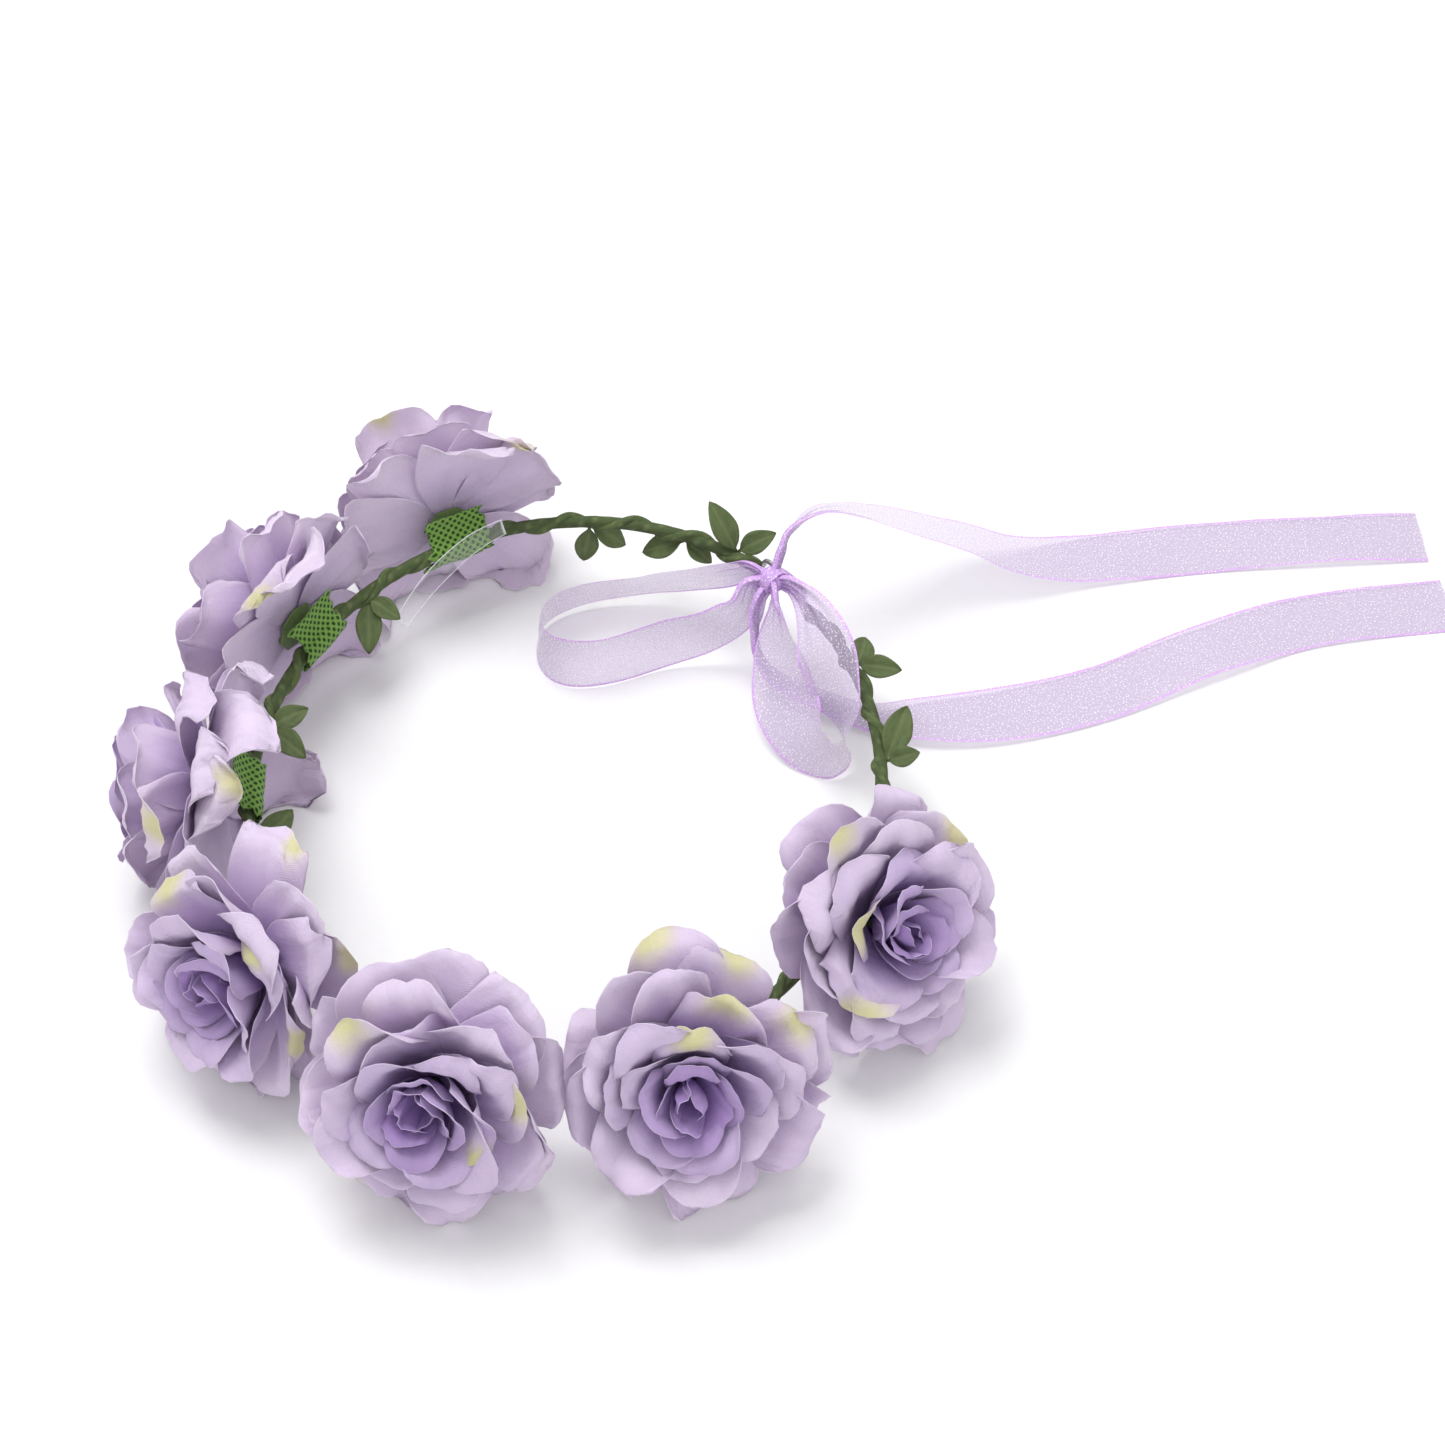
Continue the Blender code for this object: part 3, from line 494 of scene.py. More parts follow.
def wire_material():
    """Drawn steel wire with a few dull patches."""
    made, shader, nodes, links = new_material("drawn_wire", Metallic=1.0)
    place = nodes.new("ShaderNodeTexCoord").outputs["Object"]
    dull = noise_output(nodes, links, place, 400.0, 3.0)
    colour = mix_colour(nodes, links, dull, (0.36, 0.36, 0.35), (0.60, 0.60, 0.58))
    links.new(colour, shader.inputs["Base Color"])
    links.new(math_node(nodes, links, "MULTIPLY_ADD", dull, 0.3, 0.25), shader.inputs["Roughness"])
    return made


def floor_material():
    """Plain pale paper sweep."""
    made, shader, nodes, links = new_material("pale_floor", Roughness=0.9, Specular_IOR_Level=0.1)
    place = nodes.new("ShaderNodeTexCoord").outputs["Object"]
    grain = noise_output(nodes, links, place, 400.0, 2.0)
    colour = mix_colour(nodes, links, grain, (0.90, 0.90, 0.905), (0.92, 0.92, 0.925))
    links.new(colour, shader.inputs["Base Color"])
    return made


# ---------------------------------------------------------------- shapes


def add_piece(name, points, faces, values, body, surface, replaced=(), thickness=0.0):
    """Adds a smooth mesh of points in millimetres, with its attributes, and rides it on a body."""
    mesh = bpy.data.meshes.new(name)
    mesh.from_pydata([point * MM for point in points], [], faces)
    for key, numbers in values.items():
        if key == "cloth":
            layer = mesh.attributes.new(key, "FLOAT_VECTOR", "POINT")
            layer.data.foreach_set("vector", [MM * number for vector in numbers for number in vector])
        else:
            layer = mesh.attributes.new(key, "FLOAT", "POINT")
            layer.data.foreach_set("value", numbers)
    mesh.materials.append(surface)
    mesh.polygons.foreach_set("use_smooth", [True] * len(mesh.polygons))
    piece = bpy.data.objects.new(name, mesh)
    bpy.context.scene.collection.objects.link(piece)
    if thickness:
        solidify = piece.modifiers.new("thickness", "SOLIDIFY")
        solidify.thickness = thickness * MM
        solidify.offset = 0.0
    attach(piece, body)
    if replaced:
        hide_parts(*replaced)
    return piece


class Patchwork:
    """Points, faces and attributes of several grids that become one mesh."""

    def __init__(self, keys):
        self.points = []
        self.faces = []
        self.values = {key: [] for key in keys}

    def add_grid(self, rows, closed=False):
        """Adds a grid of rows of (point, {attribute: value}), closed across where it is a tube."""
        start = len(self.points)
        across = len(rows[0])
        for row in rows:
            for point, values in row:
                self.points.append(point)
                for key, numbers in self.values.items():
                    numbers.append(values[key])
        last = across if closed else across - 1
        for row in range(len(rows) - 1):
            for column in range(last):
                here = start + row * across + column
                after = start + row * across + (column + 1) % across
                self.faces.append((here, after, after + across, here + across))

    def piece(self, name, body, surface, slot, replaced=(), thickness=0.0):
        """The finished piece."""
        return add_piece(name, self.points, self.faces, self.values, body, surface, replaced, thickness)


def ring_point(azimuth):
    """Point of the ring's middle line at this azimuth, in millimetres."""
    turn = math.radians(azimuth)
    own = math.radians(azimuth - RING_TURN)
    reach = RING_HALF_X * RING_HALF_Y / math.hypot(RING_HALF_Y * math.cos(own), RING_HALF_X * math.sin(own))
    height = RING_HEIGHT + RING_SLANT * math.cos(turn - math.radians(RING_HIGH_SIDE))
    return Vector((reach * math.cos(turn), reach * math.sin(turn), height))


def ring_axes(azimuth):
    """(along, outward, upward) unit vectors of the ring at this azimuth."""
    along = (ring_point(azimuth + 0.5) - ring_point(azimuth - 0.5)).normalized()
    outward = along.cross(UP).normalized()
    return along, outward, outward.cross(along)


def knot_point():
    """Middle of the bow's knot, in millimetres."""
    _, outward, _ = ring_axes(GAP_AZIMUTH)
    return ring_point(GAP_AZIMUTH) - KNOT_INWARD * outward + KNOT_LIFT * UP


def path_frames(path):
    """(tangent, side, top) unit vectors at each point of a path that never runs straight up."""
    frames = []
    for index in range(len(path)):
        tangent = (path[min(index + 1, len(path) - 1)] - path[max(index - 1, 0)]).normalized()
        side = tangent.cross(UP).normalized()
        frames.append((tangent, side, side.cross(tangent)))
    return frames


def run_lengths(path):
    """Length along a path to each of its points."""
    lengths = [0.0]
    for before, after in zip(path, path[1:]):
        lengths.append(lengths[-1] + (after - before).length)
    return lengths


def spline(points, steps):
    """Smooth run through rows of numbers, with this many steps between neighbouring rows."""
    rows = [Vector(row) for row in points]
    run = []
    for index in range(len(rows) - 1):
        before = rows[max(index - 1, 0)]
        start, end = rows[index], rows[index + 1]
        after = rows[min(index + 2, len(rows) - 1)]
        for step in range(steps):
            t = step / steps
            run.append(
                0.5 * (2 * start + (end - before) * t
                       + (2 * before - 5 * start + 4 * end - after) * t ** 2
                       + (3 * start - before - 3 * end + after) * t ** 3)
            )
    run.append(rows[-1])
    return run


def smooth_step(value):
    """Eases from 0 to 1 as value goes from 0 to 1."""
    value = min(max(value, 0.0), 1.0)
    return value * value * (3 - 2 * value)


# ---------------------------------------------------------------- roses


def rose_frame(rose):
    """Rose coordinates in millimetres: origin on the vine, +Z the way the flower faces."""
    azimuth, facing, elevation, roll = rose
    turn, rise = math.radians(facing), math.radians(elevation)
    axis = Vector((math.cos(rise) * math.cos(turn), math.cos(rise) * math.sin(turn), math.sin(rise)))
    sideways = UP.cross(axis).normalized()
    place = Matrix((sideways, axis.cross(sideways), axis)).transposed().to_4x4()
    place.translation = ring_point(azimuth)
    return place @ Matrix.Rotation(math.radians(roll), 4, "Z")


def sector(index):
    """Azimuths between which a rose's petals stay, half way to each neighbour."""
    azimuth = ROSES[index][0]
    before = ROSES[index - 1][0] if index > 0 else azimuth - SECTOR_OPEN
    after = ROSES[index + 1][0] if index + 1 < len(ROSES) else azimuth + SECTOR_OPEN
    return 0.5 * (before + azimuth), 0.5 * (azimuth + after)


def keep_in_sector(point, index):
    """Presses a point back between the two neighbouring roses, the more the nearer it is to them."""
    low, high = sector(index)
    azimuth = math.degrees(math.atan2(point.y, point.x)) % 360.0
    own = ROSES[index][0]
    half = SECTOR_REACH * (high - own if azimuth > own else own - low)
    share = abs(azimuth - own) / half
    if share <= SECTOR_FREE:
        return point
    pressed = SECTOR_FREE + (1 - SECTOR_FREE) * math.tanh((share - SECTOR_FREE) / (1 - SECTOR_FREE))
    turned = math.radians(own + math.copysign(pressed * half, azimuth - own))
    reach = math.hypot(point.x, point.y)
    return Vector((reach * math.cos(turned), reach * math.sin(turned), point.z))


def rest_on_table(point, index, lowest):
    """Bends what would go below the table outward along it."""
    if point.z >= BEND_TOP:
        return point
    depth = BEND_TOP - point.z
    turn = math.radians(ROSES[index][1])
    height = max(BEND_TOP * (point.z - BEND_FLAT) / (BEND_TOP - BEND_FLAT), lowest)
    splay = BEND_SPLAY * depth
    return Vector((point.x + splay * math.cos(turn), point.y + splay * math.sin(turn), height))


def section_point(section, share):
    """(distance from the axis, height, unit slope) at this share of a fine section's length."""
    place = share * (len(section) - 1)
    index = min(int(place), len(section) - 2)
    start, end = section[index], section[index + 1]
    slope = (end - start).normalized()
    spot = start + (end - start) * (place - index)
    return spot[0], spot[1], slope


def petal_grid(layer, section, centre, lowest, index, place, chance, reflex, spot):
    """Grid of one petal, cupped, creased and curled in its own way."""
    loose = 1.0 if layer["piece"] in ("outer", "middle") else 0.7
    half = layer["half"] * chance.uniform(0.88, 1.1)
    length = chance.uniform(0.82, 1.04)
    lift_tip = loose * chance.uniform(-5.0, 4.0)
    roll_back = loose * chance.uniform(0.2, 5.0)
    cup = layer["cup"] * chance.uniform(0.2, 1.8)
    notch = chance.uniform(-0.06, 0.05)
    twist = loose * chance.uniform(-4.5, 4.5)
    seed = chance.uniform(0.0, 100.0)
    # Each petal's own random tone, on top of its rose's painted light.
    tone_and_painted_light = ROSE_PAINTED_LIGHT[index] + chance.uniform(-0.07, 0.12)
    fold_depth = chance.uniform(0.2, 1.2)
    crease_at = chance.uniform(-0.6, 0.6)
    crease = chance.uniform(-1.3, 1.3)
    rows = []
    for v in ALONG:
        row = []
        for u in ACROSS:
            tip = 1 - 0.4 * (1 - math.sqrt(1 - 0.97 * u * u)) + notch * math.exp(-((u / 0.2) ** 2))
            ragged = 0.022 * noise.noise(Vector((u * 11, seed, 3.0))) * smooth_step((v - 0.9) / 0.1)
            share = v * (tip + ragged) * length
            r, h, slope = section_point(section, share)
            width = half * (0.2 + 0.8 * math.sin(0.5 * math.pi * min(v / 0.66, 1.0)) ** 1.15)
            fray = 0.3 * noise.noise(Vector((u * 19, v * 17, seed + 7)))
            s = u * width + fray * (abs(u) > 0.97)
            round_r = max(r, 3.2) / layer["wrap"]
            bend = s / round_r
            wrinkle = 2.6 * noise.noise(Vector((u * 1.5, v * 2.0, seed)))
            wrinkle += 1.1 * noise.noise(Vector((u * 3.6, v * 2.6, seed)))
            wrinkle += 0.25 * noise.noise(Vector((u * 8.0, v * 7.0, seed)))
            wrinkle += crease * math.exp(-(((u - crease_at - 0.3 * v) / 0.16) ** 2))
            fold = fold_depth * math.exp(-((u / 0.14) ** 2)) * (1 - v)
            lift = cup * u * u * v + layer["lean"] * u * (0.25 + 0.75 * v) + twist * u * v * v
            lift += loose * wrinkle * v + lift_tip * v * v - fold
            lift -= roll_back * smooth_step((share - 0.7) / 0.3) ** 2
            lift -= 0.5 * roll_back * smooth_step((abs(u) - 0.6) / 0.4) * v
            lift -= reflex * smooth_step(share * 1.1) ** 2
            x = r - round_r * (1 - math.cos(bend)) - slope[1] * lift
            y = round_r * math.sin(bend)
            z = h + slope[0] * lift
            point = Vector((
                x * math.cos(centre) - y * math.sin(centre),
                x * math.sin(centre) + y * math.cos(centre),
                z,
            ))
            point = rest_on_table(keep_in_sector(place @ point, index), index, lowest)
            # Purple at the root fading to the tip: partly dye, partly painted shade under the overlapping
            # petals.
            root, end = layer["deep"]
            edge = 1.0 if (abs(u) > 0.99 or v > 0.99) and v > 0.3 else 0.0
            away = math.hypot((u - spot[0]) / 0.95, (v - 1.0) / 0.6) / spot[1] if spot else 2.0
            row.append((point, {
                "cloth": (s + 60 * centre, 36 * v, index * 40),
                "deep": max(0.0, root + (end - root) * smooth_step(v * 1.15) + tone_and_painted_light),
                "edge": edge,
                "spot": smooth_step(1.25 - away),
            }))
        rows.append(row)
    return rows


def spots_of(rose, number, turns):
    """{petal: (place, size)} of the yellow-green tips in this layer, by the petals nearest to them."""
    found = {}
    for layer, direction, place, size in SPOTS[rose]:
        if layer != number:
            continue
        away = [abs((turn + ROSES[rose][3] - direction + 180.0) % 360.0 - 180.0) for turn in turns]
        found[away.index(min(away))] = (place, size)
    return found


def make_rose(index, surfaces):
    """The four fabric pieces of a rose head, each in place of its plain layer in the frame."""
    place = rose_frame(ROSES[index])
    chance = random.Random(410 + index)
    parts = {}
    for number, layer in enumerate(LAYERS):
        cloth = parts.setdefault(layer["piece"], Patchwork(("cloth", "deep", "edge", "spot")))
        section = spline(layer["section"], 5)
        turns = []
        for petal in range(layer["petals"]):
            even = 360.0 * petal / layer["petals"] + layer["turn"] + 23.0 * index
            turns.append(even + chance.uniform(-14.0, 14.0))
        if LOOSE_PETALS.get(index, (-1, 0.0))[0] == number:
            turns.append(LOOSE_PETALS[index][1] - ROSES[index][3])
        spots = spots_of(index, number, turns)
        for petal, turn in enumerate(turns):
            off_vine = abs(math.sin(math.radians(turn + ROSES[index][3])))
            reflex = REFLEX[index] * (0.2 + 0.8 * off_vine) * REFLEX_SHARE.get(number, 0.0)
            lowest = 0.3 + 0.55 * number + 0.08 * petal
            cloth.add_grid(petal_grid(
                layer, section, math.radians(turn), lowest, index, place, chance, reflex, spots.get(petal)
            ))
    for part, cloth in parts.items():
        node = f"rose_{index + 1}_bud" if part == "bud" else f"rose_{index + 1}_petals_{part}"
        name = f"rose_{index + 1}_{part}_cloth"
        cloth.piece(name, ROOT, surfaces[part], f"petal_{part}", (node,), PETAL_THICKNESS)


def make_pad(index, surface):
    """Punched felt saddle behind a rose: round the vine, with a wing to each side."""
    along, _, _ = ring_axes(ROSES[index][0])
    facing = rose_frame(ROSES[index]).col[2].xyz
    facing = (facing - facing.dot(along) * along).normalized()
    side = facing.cross(along)
    section = [Vector((-x, y)) for x, y in reversed(PAD_WING)]
    for step in range(9):
        turn = math.radians(-80 + 20 * step)
        section.append(Vector((PAD_R * math.sin(turn), -PAD_R * math.cos(turn))))
    section += [Vector(corner) for corner in PAD_WING]
    profile = spline(section, 3)
    lengths = run_lengths(profile)
    felt = Patchwork(("cloth",))
    rows = []
    for step in range(PAD_STEPS + 1):
        end = step / PAD_STEPS - 0.5
        centre = ring_point(ROSES[index][0]) + end * PAD_LENGTH * along
        row = []
        for spot, length in zip(profile, lengths):
            wave = 0.5 * noise.noise(Vector((end * 3, length * 0.15, index)))
            cut = 0.0
            if step in (0, PAD_STEPS):
                cut = PAD_RAGGED * noise.noise(Vector((length * 0.45, end, index + 20)))
            point = centre + cut * along + spot[0] * side + (spot[1] + wave) * facing
            row.append((point, {"cloth": (length, end * PAD_LENGTH, 0.0)}))
        rows.append(row)
    felt.add_grid(rows)
    name = f"rose_{index + 1}_felt"
    felt.piece(name, ROOT, surface, "felt_green", (f"rose_{index + 1}_felt_pad",), PAD_THICKNESS)


# ---------------------------------------------------------------- vine


def vine_run(start_length, spacing):
    """Points along the vine from one end of the ring's gap to the other."""
    fine = [ring_point(GAP_AZIMUTH + 0.5 * step) for step in range(721)]
    lengths = run_lengths(fine)
    count = round((lengths[-1] - 2 * start_length) / spacing)
    found = []
    at = 0
    for step in range(count + 1):
        wanted = start_length + (lengths[-1] - 2 * start_length) * step / count
        while lengths[at + 1] < wanted:
            at += 1
        share = (wanted - lengths[at]) / (lengths[at + 1] - lengths[at])
        found.append(fine[at].lerp(fine[at + 1], share))
    return found


def paper_tube(path, radius, sides, seed, taper=4):
    """Grid of a tube of wound paper: a slanting lap every few millimetres, ends tapered shut."""
    rows = []
    for index, (point, length, (_, side, top)) in enumerate(zip(path, run_lengths(path), path_frames(path))):
        shut = min(1.0, (min(index, len(path) - 1 - index) + 0.15) / taper) ** 0.5
        row = []
        for step in range(sides):
            turn = 2 * math.pi * step / sides
            lap = (length / PAPER_LAP + step / sides) % 1.0
            crease = noise.noise(Vector((length * 0.25, step * 0.9, seed)))
            reach = radius * shut * (1 + 0.06 * lap + 0.10 * crease)
            row.append((
                point + reach * (math.cos(turn) * side + math.sin(turn) * top),
                {"cloth": (reach * turn, length, seed), "edge": 1.0 if lap > 0.88 else 0.0},
            ))
        rows.append(row)
    return rows


def make_vine(wound, strand_paper):
    """The papered wire, and the second strand of paper wound round it."""
    core = vine_run(VINE_START, VINE_SPACING)
    wrap = Patchwork(("cloth", "edge"))
    wrap.add_grid(paper_tube(core, VINE_R, 12, 1.0), closed=True)
    wrap.piece("vine_papered_wire", ROOT, wound, "paper_green", ("vine_wrap",))

    path = vine_run(STRAND_START, STRAND_SPACING)
    winding = []
    for index, (point, (_, side, top)) in enumerate(zip(path, path_frames(path))):
        turn = 2 * math.pi * index / STRAND_PITCH
        reach = STRAND_HELIX_R + 0.3 * noise.noise(Vector((index * 0.05, 0.0, 5.0)))
        winding.append(point + reach * (math.cos(turn) * side + math.sin(turn) * top))
    strand = Patchwork(("cloth", "edge"))
    strand.add_grid(paper_tube(winding, STRAND_R, 9, 9.0), closed=True)
    strand.piece("vine_paper_strand", ROOT, strand_paper, "twine_green", ("vine_twine",))


def leaf_grid(base, direction, across, length, seed):
    """Grid of a pointed paper leaf with a folded midrib and a drooping tip."""
    normal = direction.cross(across).normalized()
    if normal.z < 0:
        normal = -normal
    rows = []
    for step in range(LEAF_STEPS + 1):
        v = step / LEAF_STEPS
        swell = max(math.sin(math.pi * (max(v - 0.08, 0.0) / 0.92) ** 0.85), 0.0) ** 0.9
        width = LEAF_HALF_WIDTH * (length / 15.0) ** 0.5 * (0.1 + 0.9 * swell) if step < LEAF_STEPS else 0.12
        row = []
        for column in range(9):
            u = column / 4 - 1
            ripple = 0.35 * noise.noise(Vector((u * 2, v * 4, seed)))
            lift = 0.28 * width * abs(u) ** 1.4 - 0.14 * length * v * v + ripple
            point = base + direction * (length * v) + across * (u * width) + normal * lift
            rib = math.exp(-((u / 0.1) ** 2))
            vein = 0.25 * (math.sin(26 * v - 7 * abs(u)) > 0.8)
            row.append((point, {"cloth": (u * width, length * v, seed), "edge": min(0.8 * rib + vein, 1.0)}))
        rows.append(row)
    return rows


def make_leaf_pair(number, pair, surface):
    """Two paper leaves that spring from one place on the vine."""
    azimuth, turn, first, second = pair
    along, outward, upward = ring_axes(azimuth)
    leaves = Patchwork(("cloth", "edge"))
    for blade, (swing, slant, length) in enumerate((first, second)):
        around = math.radians(turn + swing)
        lean = math.radians(slant)
        radial = math.cos(around) * outward + math.sin(around) * upward
        direction = math.cos(lean) * radial + math.sin(lean) * along
        face = LEAF_FACE if abs(direction.dot(LEAF_FACE)) < 0.85 else Vector((0.0, -1.0, 0.3))
        across = direction.cross(face).normalized()
        base = ring_point(azimuth) + LEAF_ROOT * radial
        leaves.add_grid(leaf_grid(base, direction, across, length + LEAF_ROOT, 3.0 * number + blade))
    name = f"leaf_pair_{number}"
    leaves.piece(f"paper_leaves_{number}", ROOT, surface, "leaf_green", (name,), LEAF_THICKNESS)


# ---------------------------------------------------------------- bow


def ribbon_grid(rows, gathered_ends, seed):
    """Grid of a ribbon run: selvedges, soft waves, and pleats where it narrows to the knot."""
    path = [Vector(row[:3]) for row in rows]
    lengths = run_lengths(path)
    grid = []
    for row, middle, length, (tangent, side, top) in zip(rows, path, lengths, path_frames(path)):
        lean = math.radians(row[3])
        across = math.cos(lean) * top + math.sin(lean) * side
        normal = tangent.cross(across)
        narrow = 1 - min(row[4] / RIBBON_FLAT_WIDTH, 1.0)
        start = smooth_step(1 - length / RIBBON_GATHER)
        end = smooth_step(1 - (lengths[-1] - length) / RIBBON_GATHER) if gathered_ends == 2 else 0.0
        gather = max(start, end)
        line = []
        for u in RIBBON_ACROSS:
            pleat = 1.5 * narrow * math.cos(3.5 * math.pi * u + 0.6)
            wave = 0.9 * noise.noise(Vector((u * 0.8, length * 0.045, seed))) * (1 - narrow)
            wave += 0.22 * noise.noise(Vector((u * 3.0, length * 0.11, seed + 3)))
            point = middle + 0.5 * row[4] * u * across + (pleat + wave) * normal
            point.z = max(point.z, TABLE_GAP)
            line.append((point, {
                "cloth": (0.5 * RIBBON_FLAT_WIDTH * u, length, 0.0),
                "edge": 1.0 if abs(u) > 0.95 else 0.0,
                "gather": gather * 0.9 * narrow,
            }))
        grid.append(line)
    return grid, lengths[-1]


def make_ribbon(name, rows, node, body, gathered_ends, seed, surface):
    """A loop or a tail of organza, starting inside the knot."""
    knot = knot_point()
    inner = knot.lerp(Vector(rows[0][:3]), RIBBON_KNOT_SHARE)
    whole = [(*inner, rows[0][3], RIBBON_KNOT_WIDTH), *rows]
    if gathered_ends == 2:
        outer = knot.lerp(Vector(rows[-1][:3]), RIBBON_KNOT_SHARE)
        whole.append((*outer, rows[-1][3], RIBBON_KNOT_WIDTH))
    run = spline(whole, 7)
    grid, length = ribbon_grid(run, gathered_ends, seed)
    cloth = Patchwork(("cloth", "edge", "gather"))
    cloth.add_grid(grid)
    piece = cloth.piece(name, body, surface, "organza", (node,))


def make_knot(surface):
    """The bow's knot: gathered cloth bulging each side of the band that crosses it."""
    along, outward, _ = ring_axes(GAP_AZIMUTH)
    place = Matrix((along, outward, along.cross(outward))).transposed().to_4x4()
    place.translation = knot_point()
    knot = Patchwork(("cloth", "edge", "gather"))
    rows = []
    for level in range(19):
        rise = math.pi * (0.02 + 0.96 * level / 18)
        row = []
        for step in range(40):
            turn = 2 * math.pi * step / 40
            pleat = 1 + 0.10 * math.cos(7 * turn + 2.4 * math.cos(rise)) + 0.05 * math.cos(11 * turn)
            reach = math.sin(rise) * pleat
            point = Vector((
                KNOT_HALF_LENGTH * math.cos(rise),
                KNOT_HALF_DEPTH * reach * math.cos(turn),
                KNOT_HALF_HEIGHT * reach * math.sin(turn),
            ))
            row.append((place @ point, {"cloth": (3 * turn, 6 * rise, 0.0), "edge": 0.0, "gather": 1.0}))
        rows.append(row)
    knot.add_grid(rows, closed=True)
    band = []
    for level in range(9):
        v = level / 4 - 1
        row = []
        for step in range(36):
            turn = 2 * math.pi * step / 36
            reach = 4.0 - 0.25 * v * v + 0.22 * math.cos(5 * math.pi * v + 1.5 * math.sin(turn))
            point = Vector((1.9 * v + 0.5 * math.sin(turn), reach * math.cos(turn), reach * math.sin(turn)))
            values = {"cloth": (2 * v, 4 * turn, 0.0), "edge": 1.0 if abs(v) == 1 else 0.0, "gather": 0.8}
            row.append((place @ point, values))
        band.append(row)
    knot.add_grid(band, closed=True)
    knot.piece("bow_knot", ROOT, surface, "organza", ("ribbon_knot",))


def make_tie(surface):
    """The gathered ribbon that passes through both wire eyelets under the knot."""
    along, outward, _ = ring_axes(GAP_AZIMUTH)
    outward = Vector((outward.x, outward.y, 0.0)).normalized()
    centre = ring_point(GAP_AZIMUTH) + TIE_LIFT * UP
    path = []
    for step in range(TIE_STEPS + 1):
        turn = 2 * math.pi * step / TIE_STEPS
        reach = math.copysign(abs(math.cos(turn)) ** 0.8, math.cos(turn))
        width = math.copysign(abs(math.sin(turn)) ** 0.8, math.sin(turn))
        path.append(centre + TIE_HALF_LENGTH * reach * along + TIE_HALF_WIDTH * width * outward)
    tie = Patchwork(("cloth", "edge", "gather"))
    rows = []
    for index, point in enumerate(path):
        tangent = (path[(index + 1) % TIE_STEPS] - path[(index - 1) % TIE_STEPS]).normalized()
        side = tangent.cross(UP).normalized()
        top = side.cross(tangent)
        row = []
        for step in range(14):
            turn = 2 * math.pi * step / 14
            reach = TIE_R * (1 + 0.16 * math.cos(4 * turn + 0.3 * index))
            around = math.cos(turn) * side + math.sin(turn) * top
            row.append((point + reach * around, {"cloth": (turn, index, 0.0), "edge": 0.0, "gather": 0.9}))
        rows.append(row)
    tie.add_grid(rows, closed=True)
    tie.piece("bow_tie_strand", ROOT, surface, "organza", ("ribbon_tie",))


def make_tag(surface):
    """The clear film band beside the first rose."""
    rows = spline(TAG_PATH, 8)
    path = [Vector(row[:3]) for row in rows]
    film = Patchwork(("cloth", "edge"))
    grid = []
    runs = zip(rows, path, run_lengths(path), path_frames(path))
    for index, (row, middle, length, (tangent, side, top)) in enumerate(runs):
        lean = math.radians(row[3])
        across = math.cos(lean) * top + math.sin(lean) * side
        line = []
        for u in (-1.0, -0.94, -0.6, -0.2, 0.2, 0.6, 0.94, 1.0):
            bow = 0.6 * (1 - u * u) * tangent.cross(across)
            # The edges marked here carry the film's painted white highlight.
            edge = 1.0 if abs(u) == 1 or index in (0, len(rows) - 1) else 0.0
            point = middle + 0.5 * TAG_NARROWED * row[4] * u * across + bow
            line.append((point, {"cloth": (4 * u, length, 0.0), "edge": edge}))
        grid.append(line)
    film.add_grid(grid)
    film.piece("clear_film_band", ROOT, surface, "clear_film", ("clear_tag_band",), TAG_THICKNESS)


# ---------------------------------------------------------------- stage


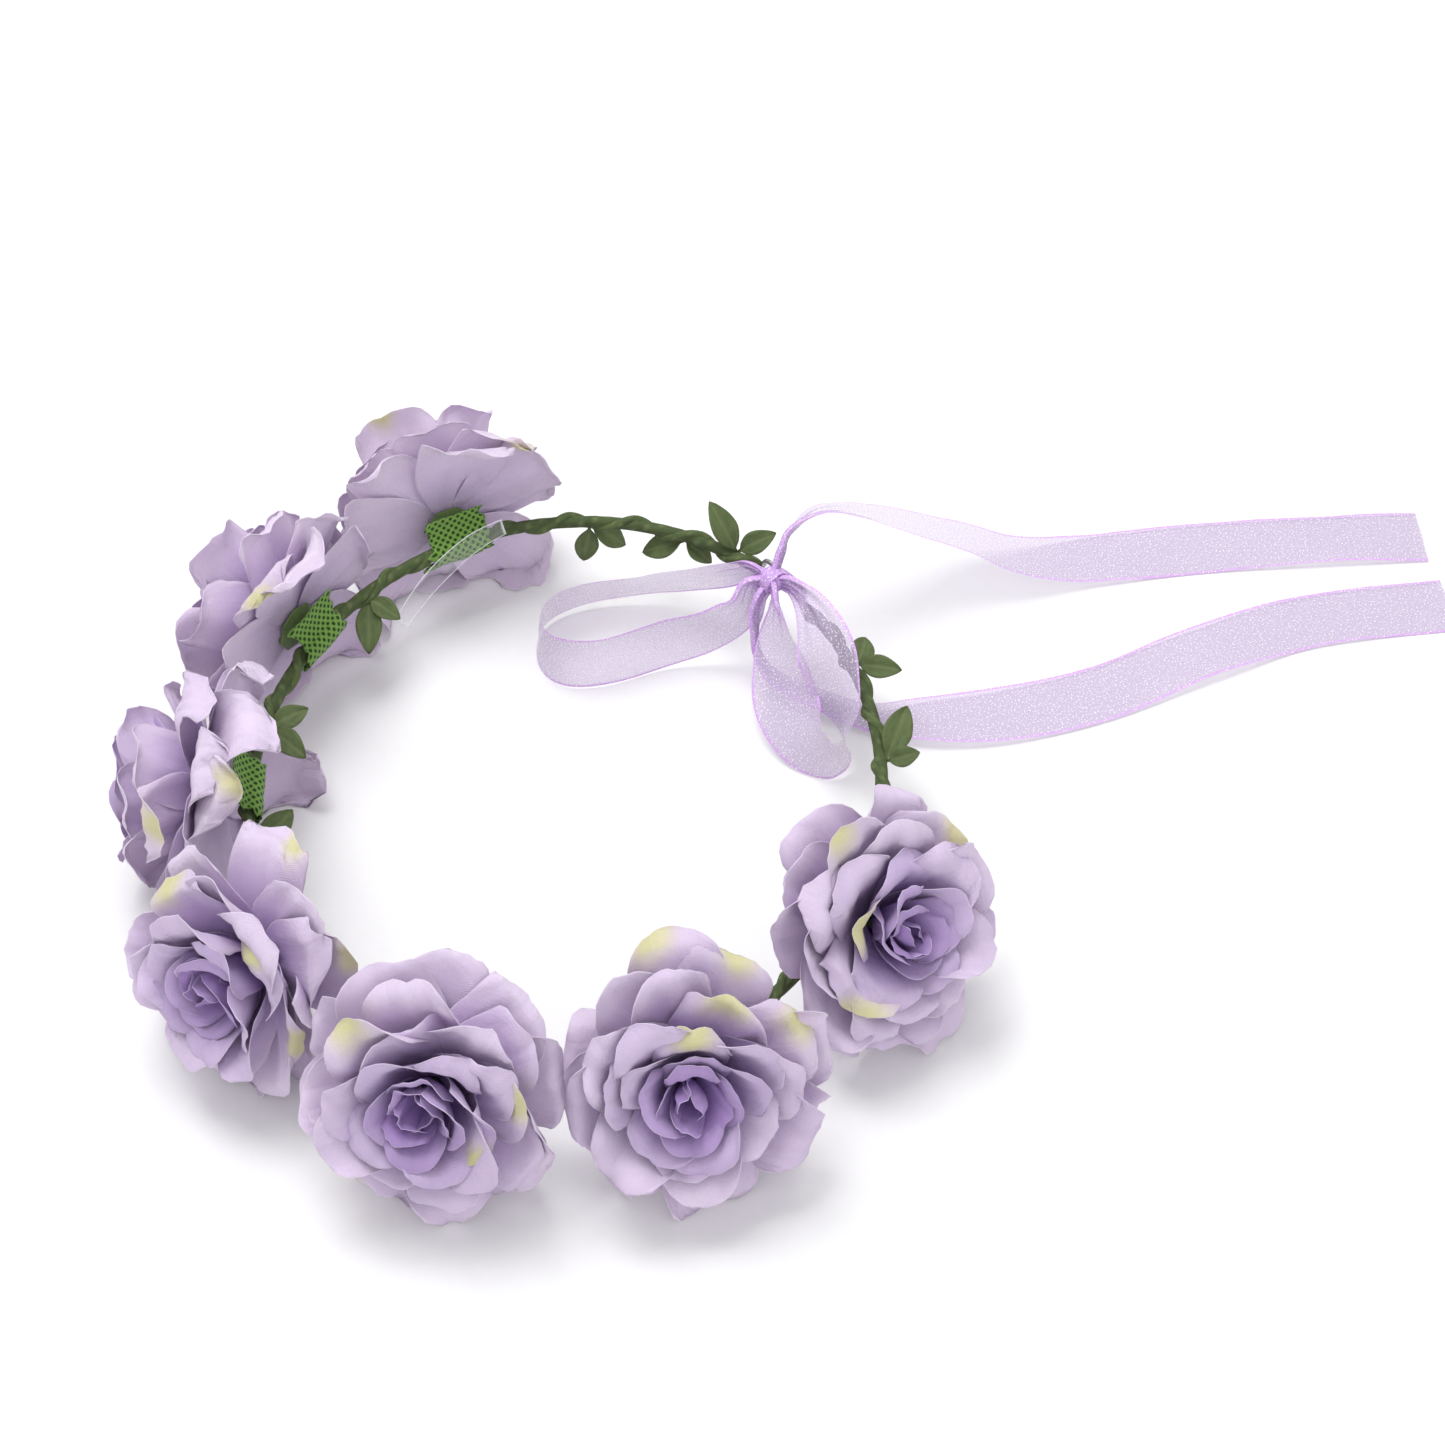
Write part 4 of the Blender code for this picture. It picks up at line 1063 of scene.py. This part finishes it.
def make_stage():
    """Pale floor, soft studio light and the camera."""
    mesh = bpy.data.meshes.new("floor")
    half = FLOOR_HALF
    corners = [(-half, -half, 0), (half, -half, 0), (half, half, 0), (-half, half, 0)]
    mesh.from_pydata(corners, [], [(0, 1, 2, 3)])
    mesh.materials.append(floor_material())
    floor = bpy.data.objects.new("floor", mesh)
    bpy.context.scene.collection.objects.link(floor)

    world = bpy.data.worlds.new("studio")
    world.use_nodes = True
    background = world.node_tree.nodes["Background"]
    background.inputs["Color"].default_value = (1.0, 1.0, 1.0, 1.0)
    background.inputs["Strength"].default_value = WORLD_STRENGTH
    bpy.context.scene.world = world
    bpy.context.scene.view_settings.view_transform = "Standard"

    for name, place, size, power in LIGHTS:
        lamp = bpy.data.lights.new(name, "AREA")
        lamp.size = size
        lamp.energy = power
        light = bpy.data.objects.new(name, lamp)
        light.location = place
        light.rotation_euler = (-Vector(place)).to_track_quat("-Z", "Y").to_euler()
        bpy.context.scene.collection.objects.link(light)

    lens = bpy.data.cameras.new("camera")
    lens.lens = CAMERA_LENS
    lens.sensor_width = CAMERA_SENSOR
    camera = bpy.data.objects.new("camera", lens)
    rise = math.radians(CAMERA_ELEVATION)
    back = Vector((0.0, -math.cos(rise), math.sin(rise)))
    camera.location = Vector(CAMERA_TARGET) + CAMERA_DISTANCE * back
    camera.rotation_euler = (math.radians(90.0 - CAMERA_ELEVATION), 0.0, 0.0)
    bpy.context.scene.collection.objects.link(camera)
    bpy.context.scene.camera = camera


def dress(node, surface):
    """Gives this material to a frame node that stays in view."""
    node.data.materials.clear()
    node.data.materials.append(surface)


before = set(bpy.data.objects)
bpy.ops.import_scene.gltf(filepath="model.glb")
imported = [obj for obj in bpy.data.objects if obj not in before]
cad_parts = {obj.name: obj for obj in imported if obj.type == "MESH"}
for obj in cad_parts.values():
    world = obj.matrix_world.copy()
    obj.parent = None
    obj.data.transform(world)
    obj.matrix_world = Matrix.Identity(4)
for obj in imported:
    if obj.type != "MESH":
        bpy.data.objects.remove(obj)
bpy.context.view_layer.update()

petal_cloth = {
    part: petal_material(f"petal_{part}_cloth", LAVENDER, PURPLE, YELLOW_GREEN)
    for part in ("outer", "middle", "inner", "bud")
}
felt = felt_material()
for rose_index in range(len(ROSES)):
    make_rose(rose_index, petal_cloth)
    make_pad(rose_index, felt)
make_vine(
    paper_material("paper_wrap", (0.022, 0.038, 0.012), (0.100, 0.142, 0.048)),
    paper_material("paper_strand", (0.028, 0.046, 0.014), (0.130, 0.178, 0.062)),
)
leaf_paper = paper_material("leaf_paper", (0.035, 0.058, 0.018), (0.150, 0.200, 0.075), 0.66)
for leaf_index, leaf_pair in enumerate(LEAF_PAIRS):
    make_leaf_pair(leaf_index + 1, leaf_pair, leaf_paper)
organza = organza_material()
make_knot(organza)
make_tie(organza)
make_ribbon("bow_loop_left", LOOP_LEFT, "ribbon_loop_left", "loop_left", 2, 1.0, organza)
make_ribbon("bow_loop_right", LOOP_RIGHT, "ribbon_loop_right", "loop_right", 2, 2.0, organza)
make_ribbon("bow_tail_1", TAIL_1, "ribbon_tail_1", "tail_1", 1, 3.0, organza)
make_ribbon("bow_tail_2", TAIL_2, "ribbon_tail_2", "tail_2", 1, 4.0, organza)
make_tag(film_material())

calyx_plastic = moulded_material()
for rose_index in range(len(ROSES)):
    dress(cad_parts[f"rose_{rose_index + 1}_calyx"], calyx_plastic)
dress(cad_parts["frame_wire"], wire_material())

make_stage()
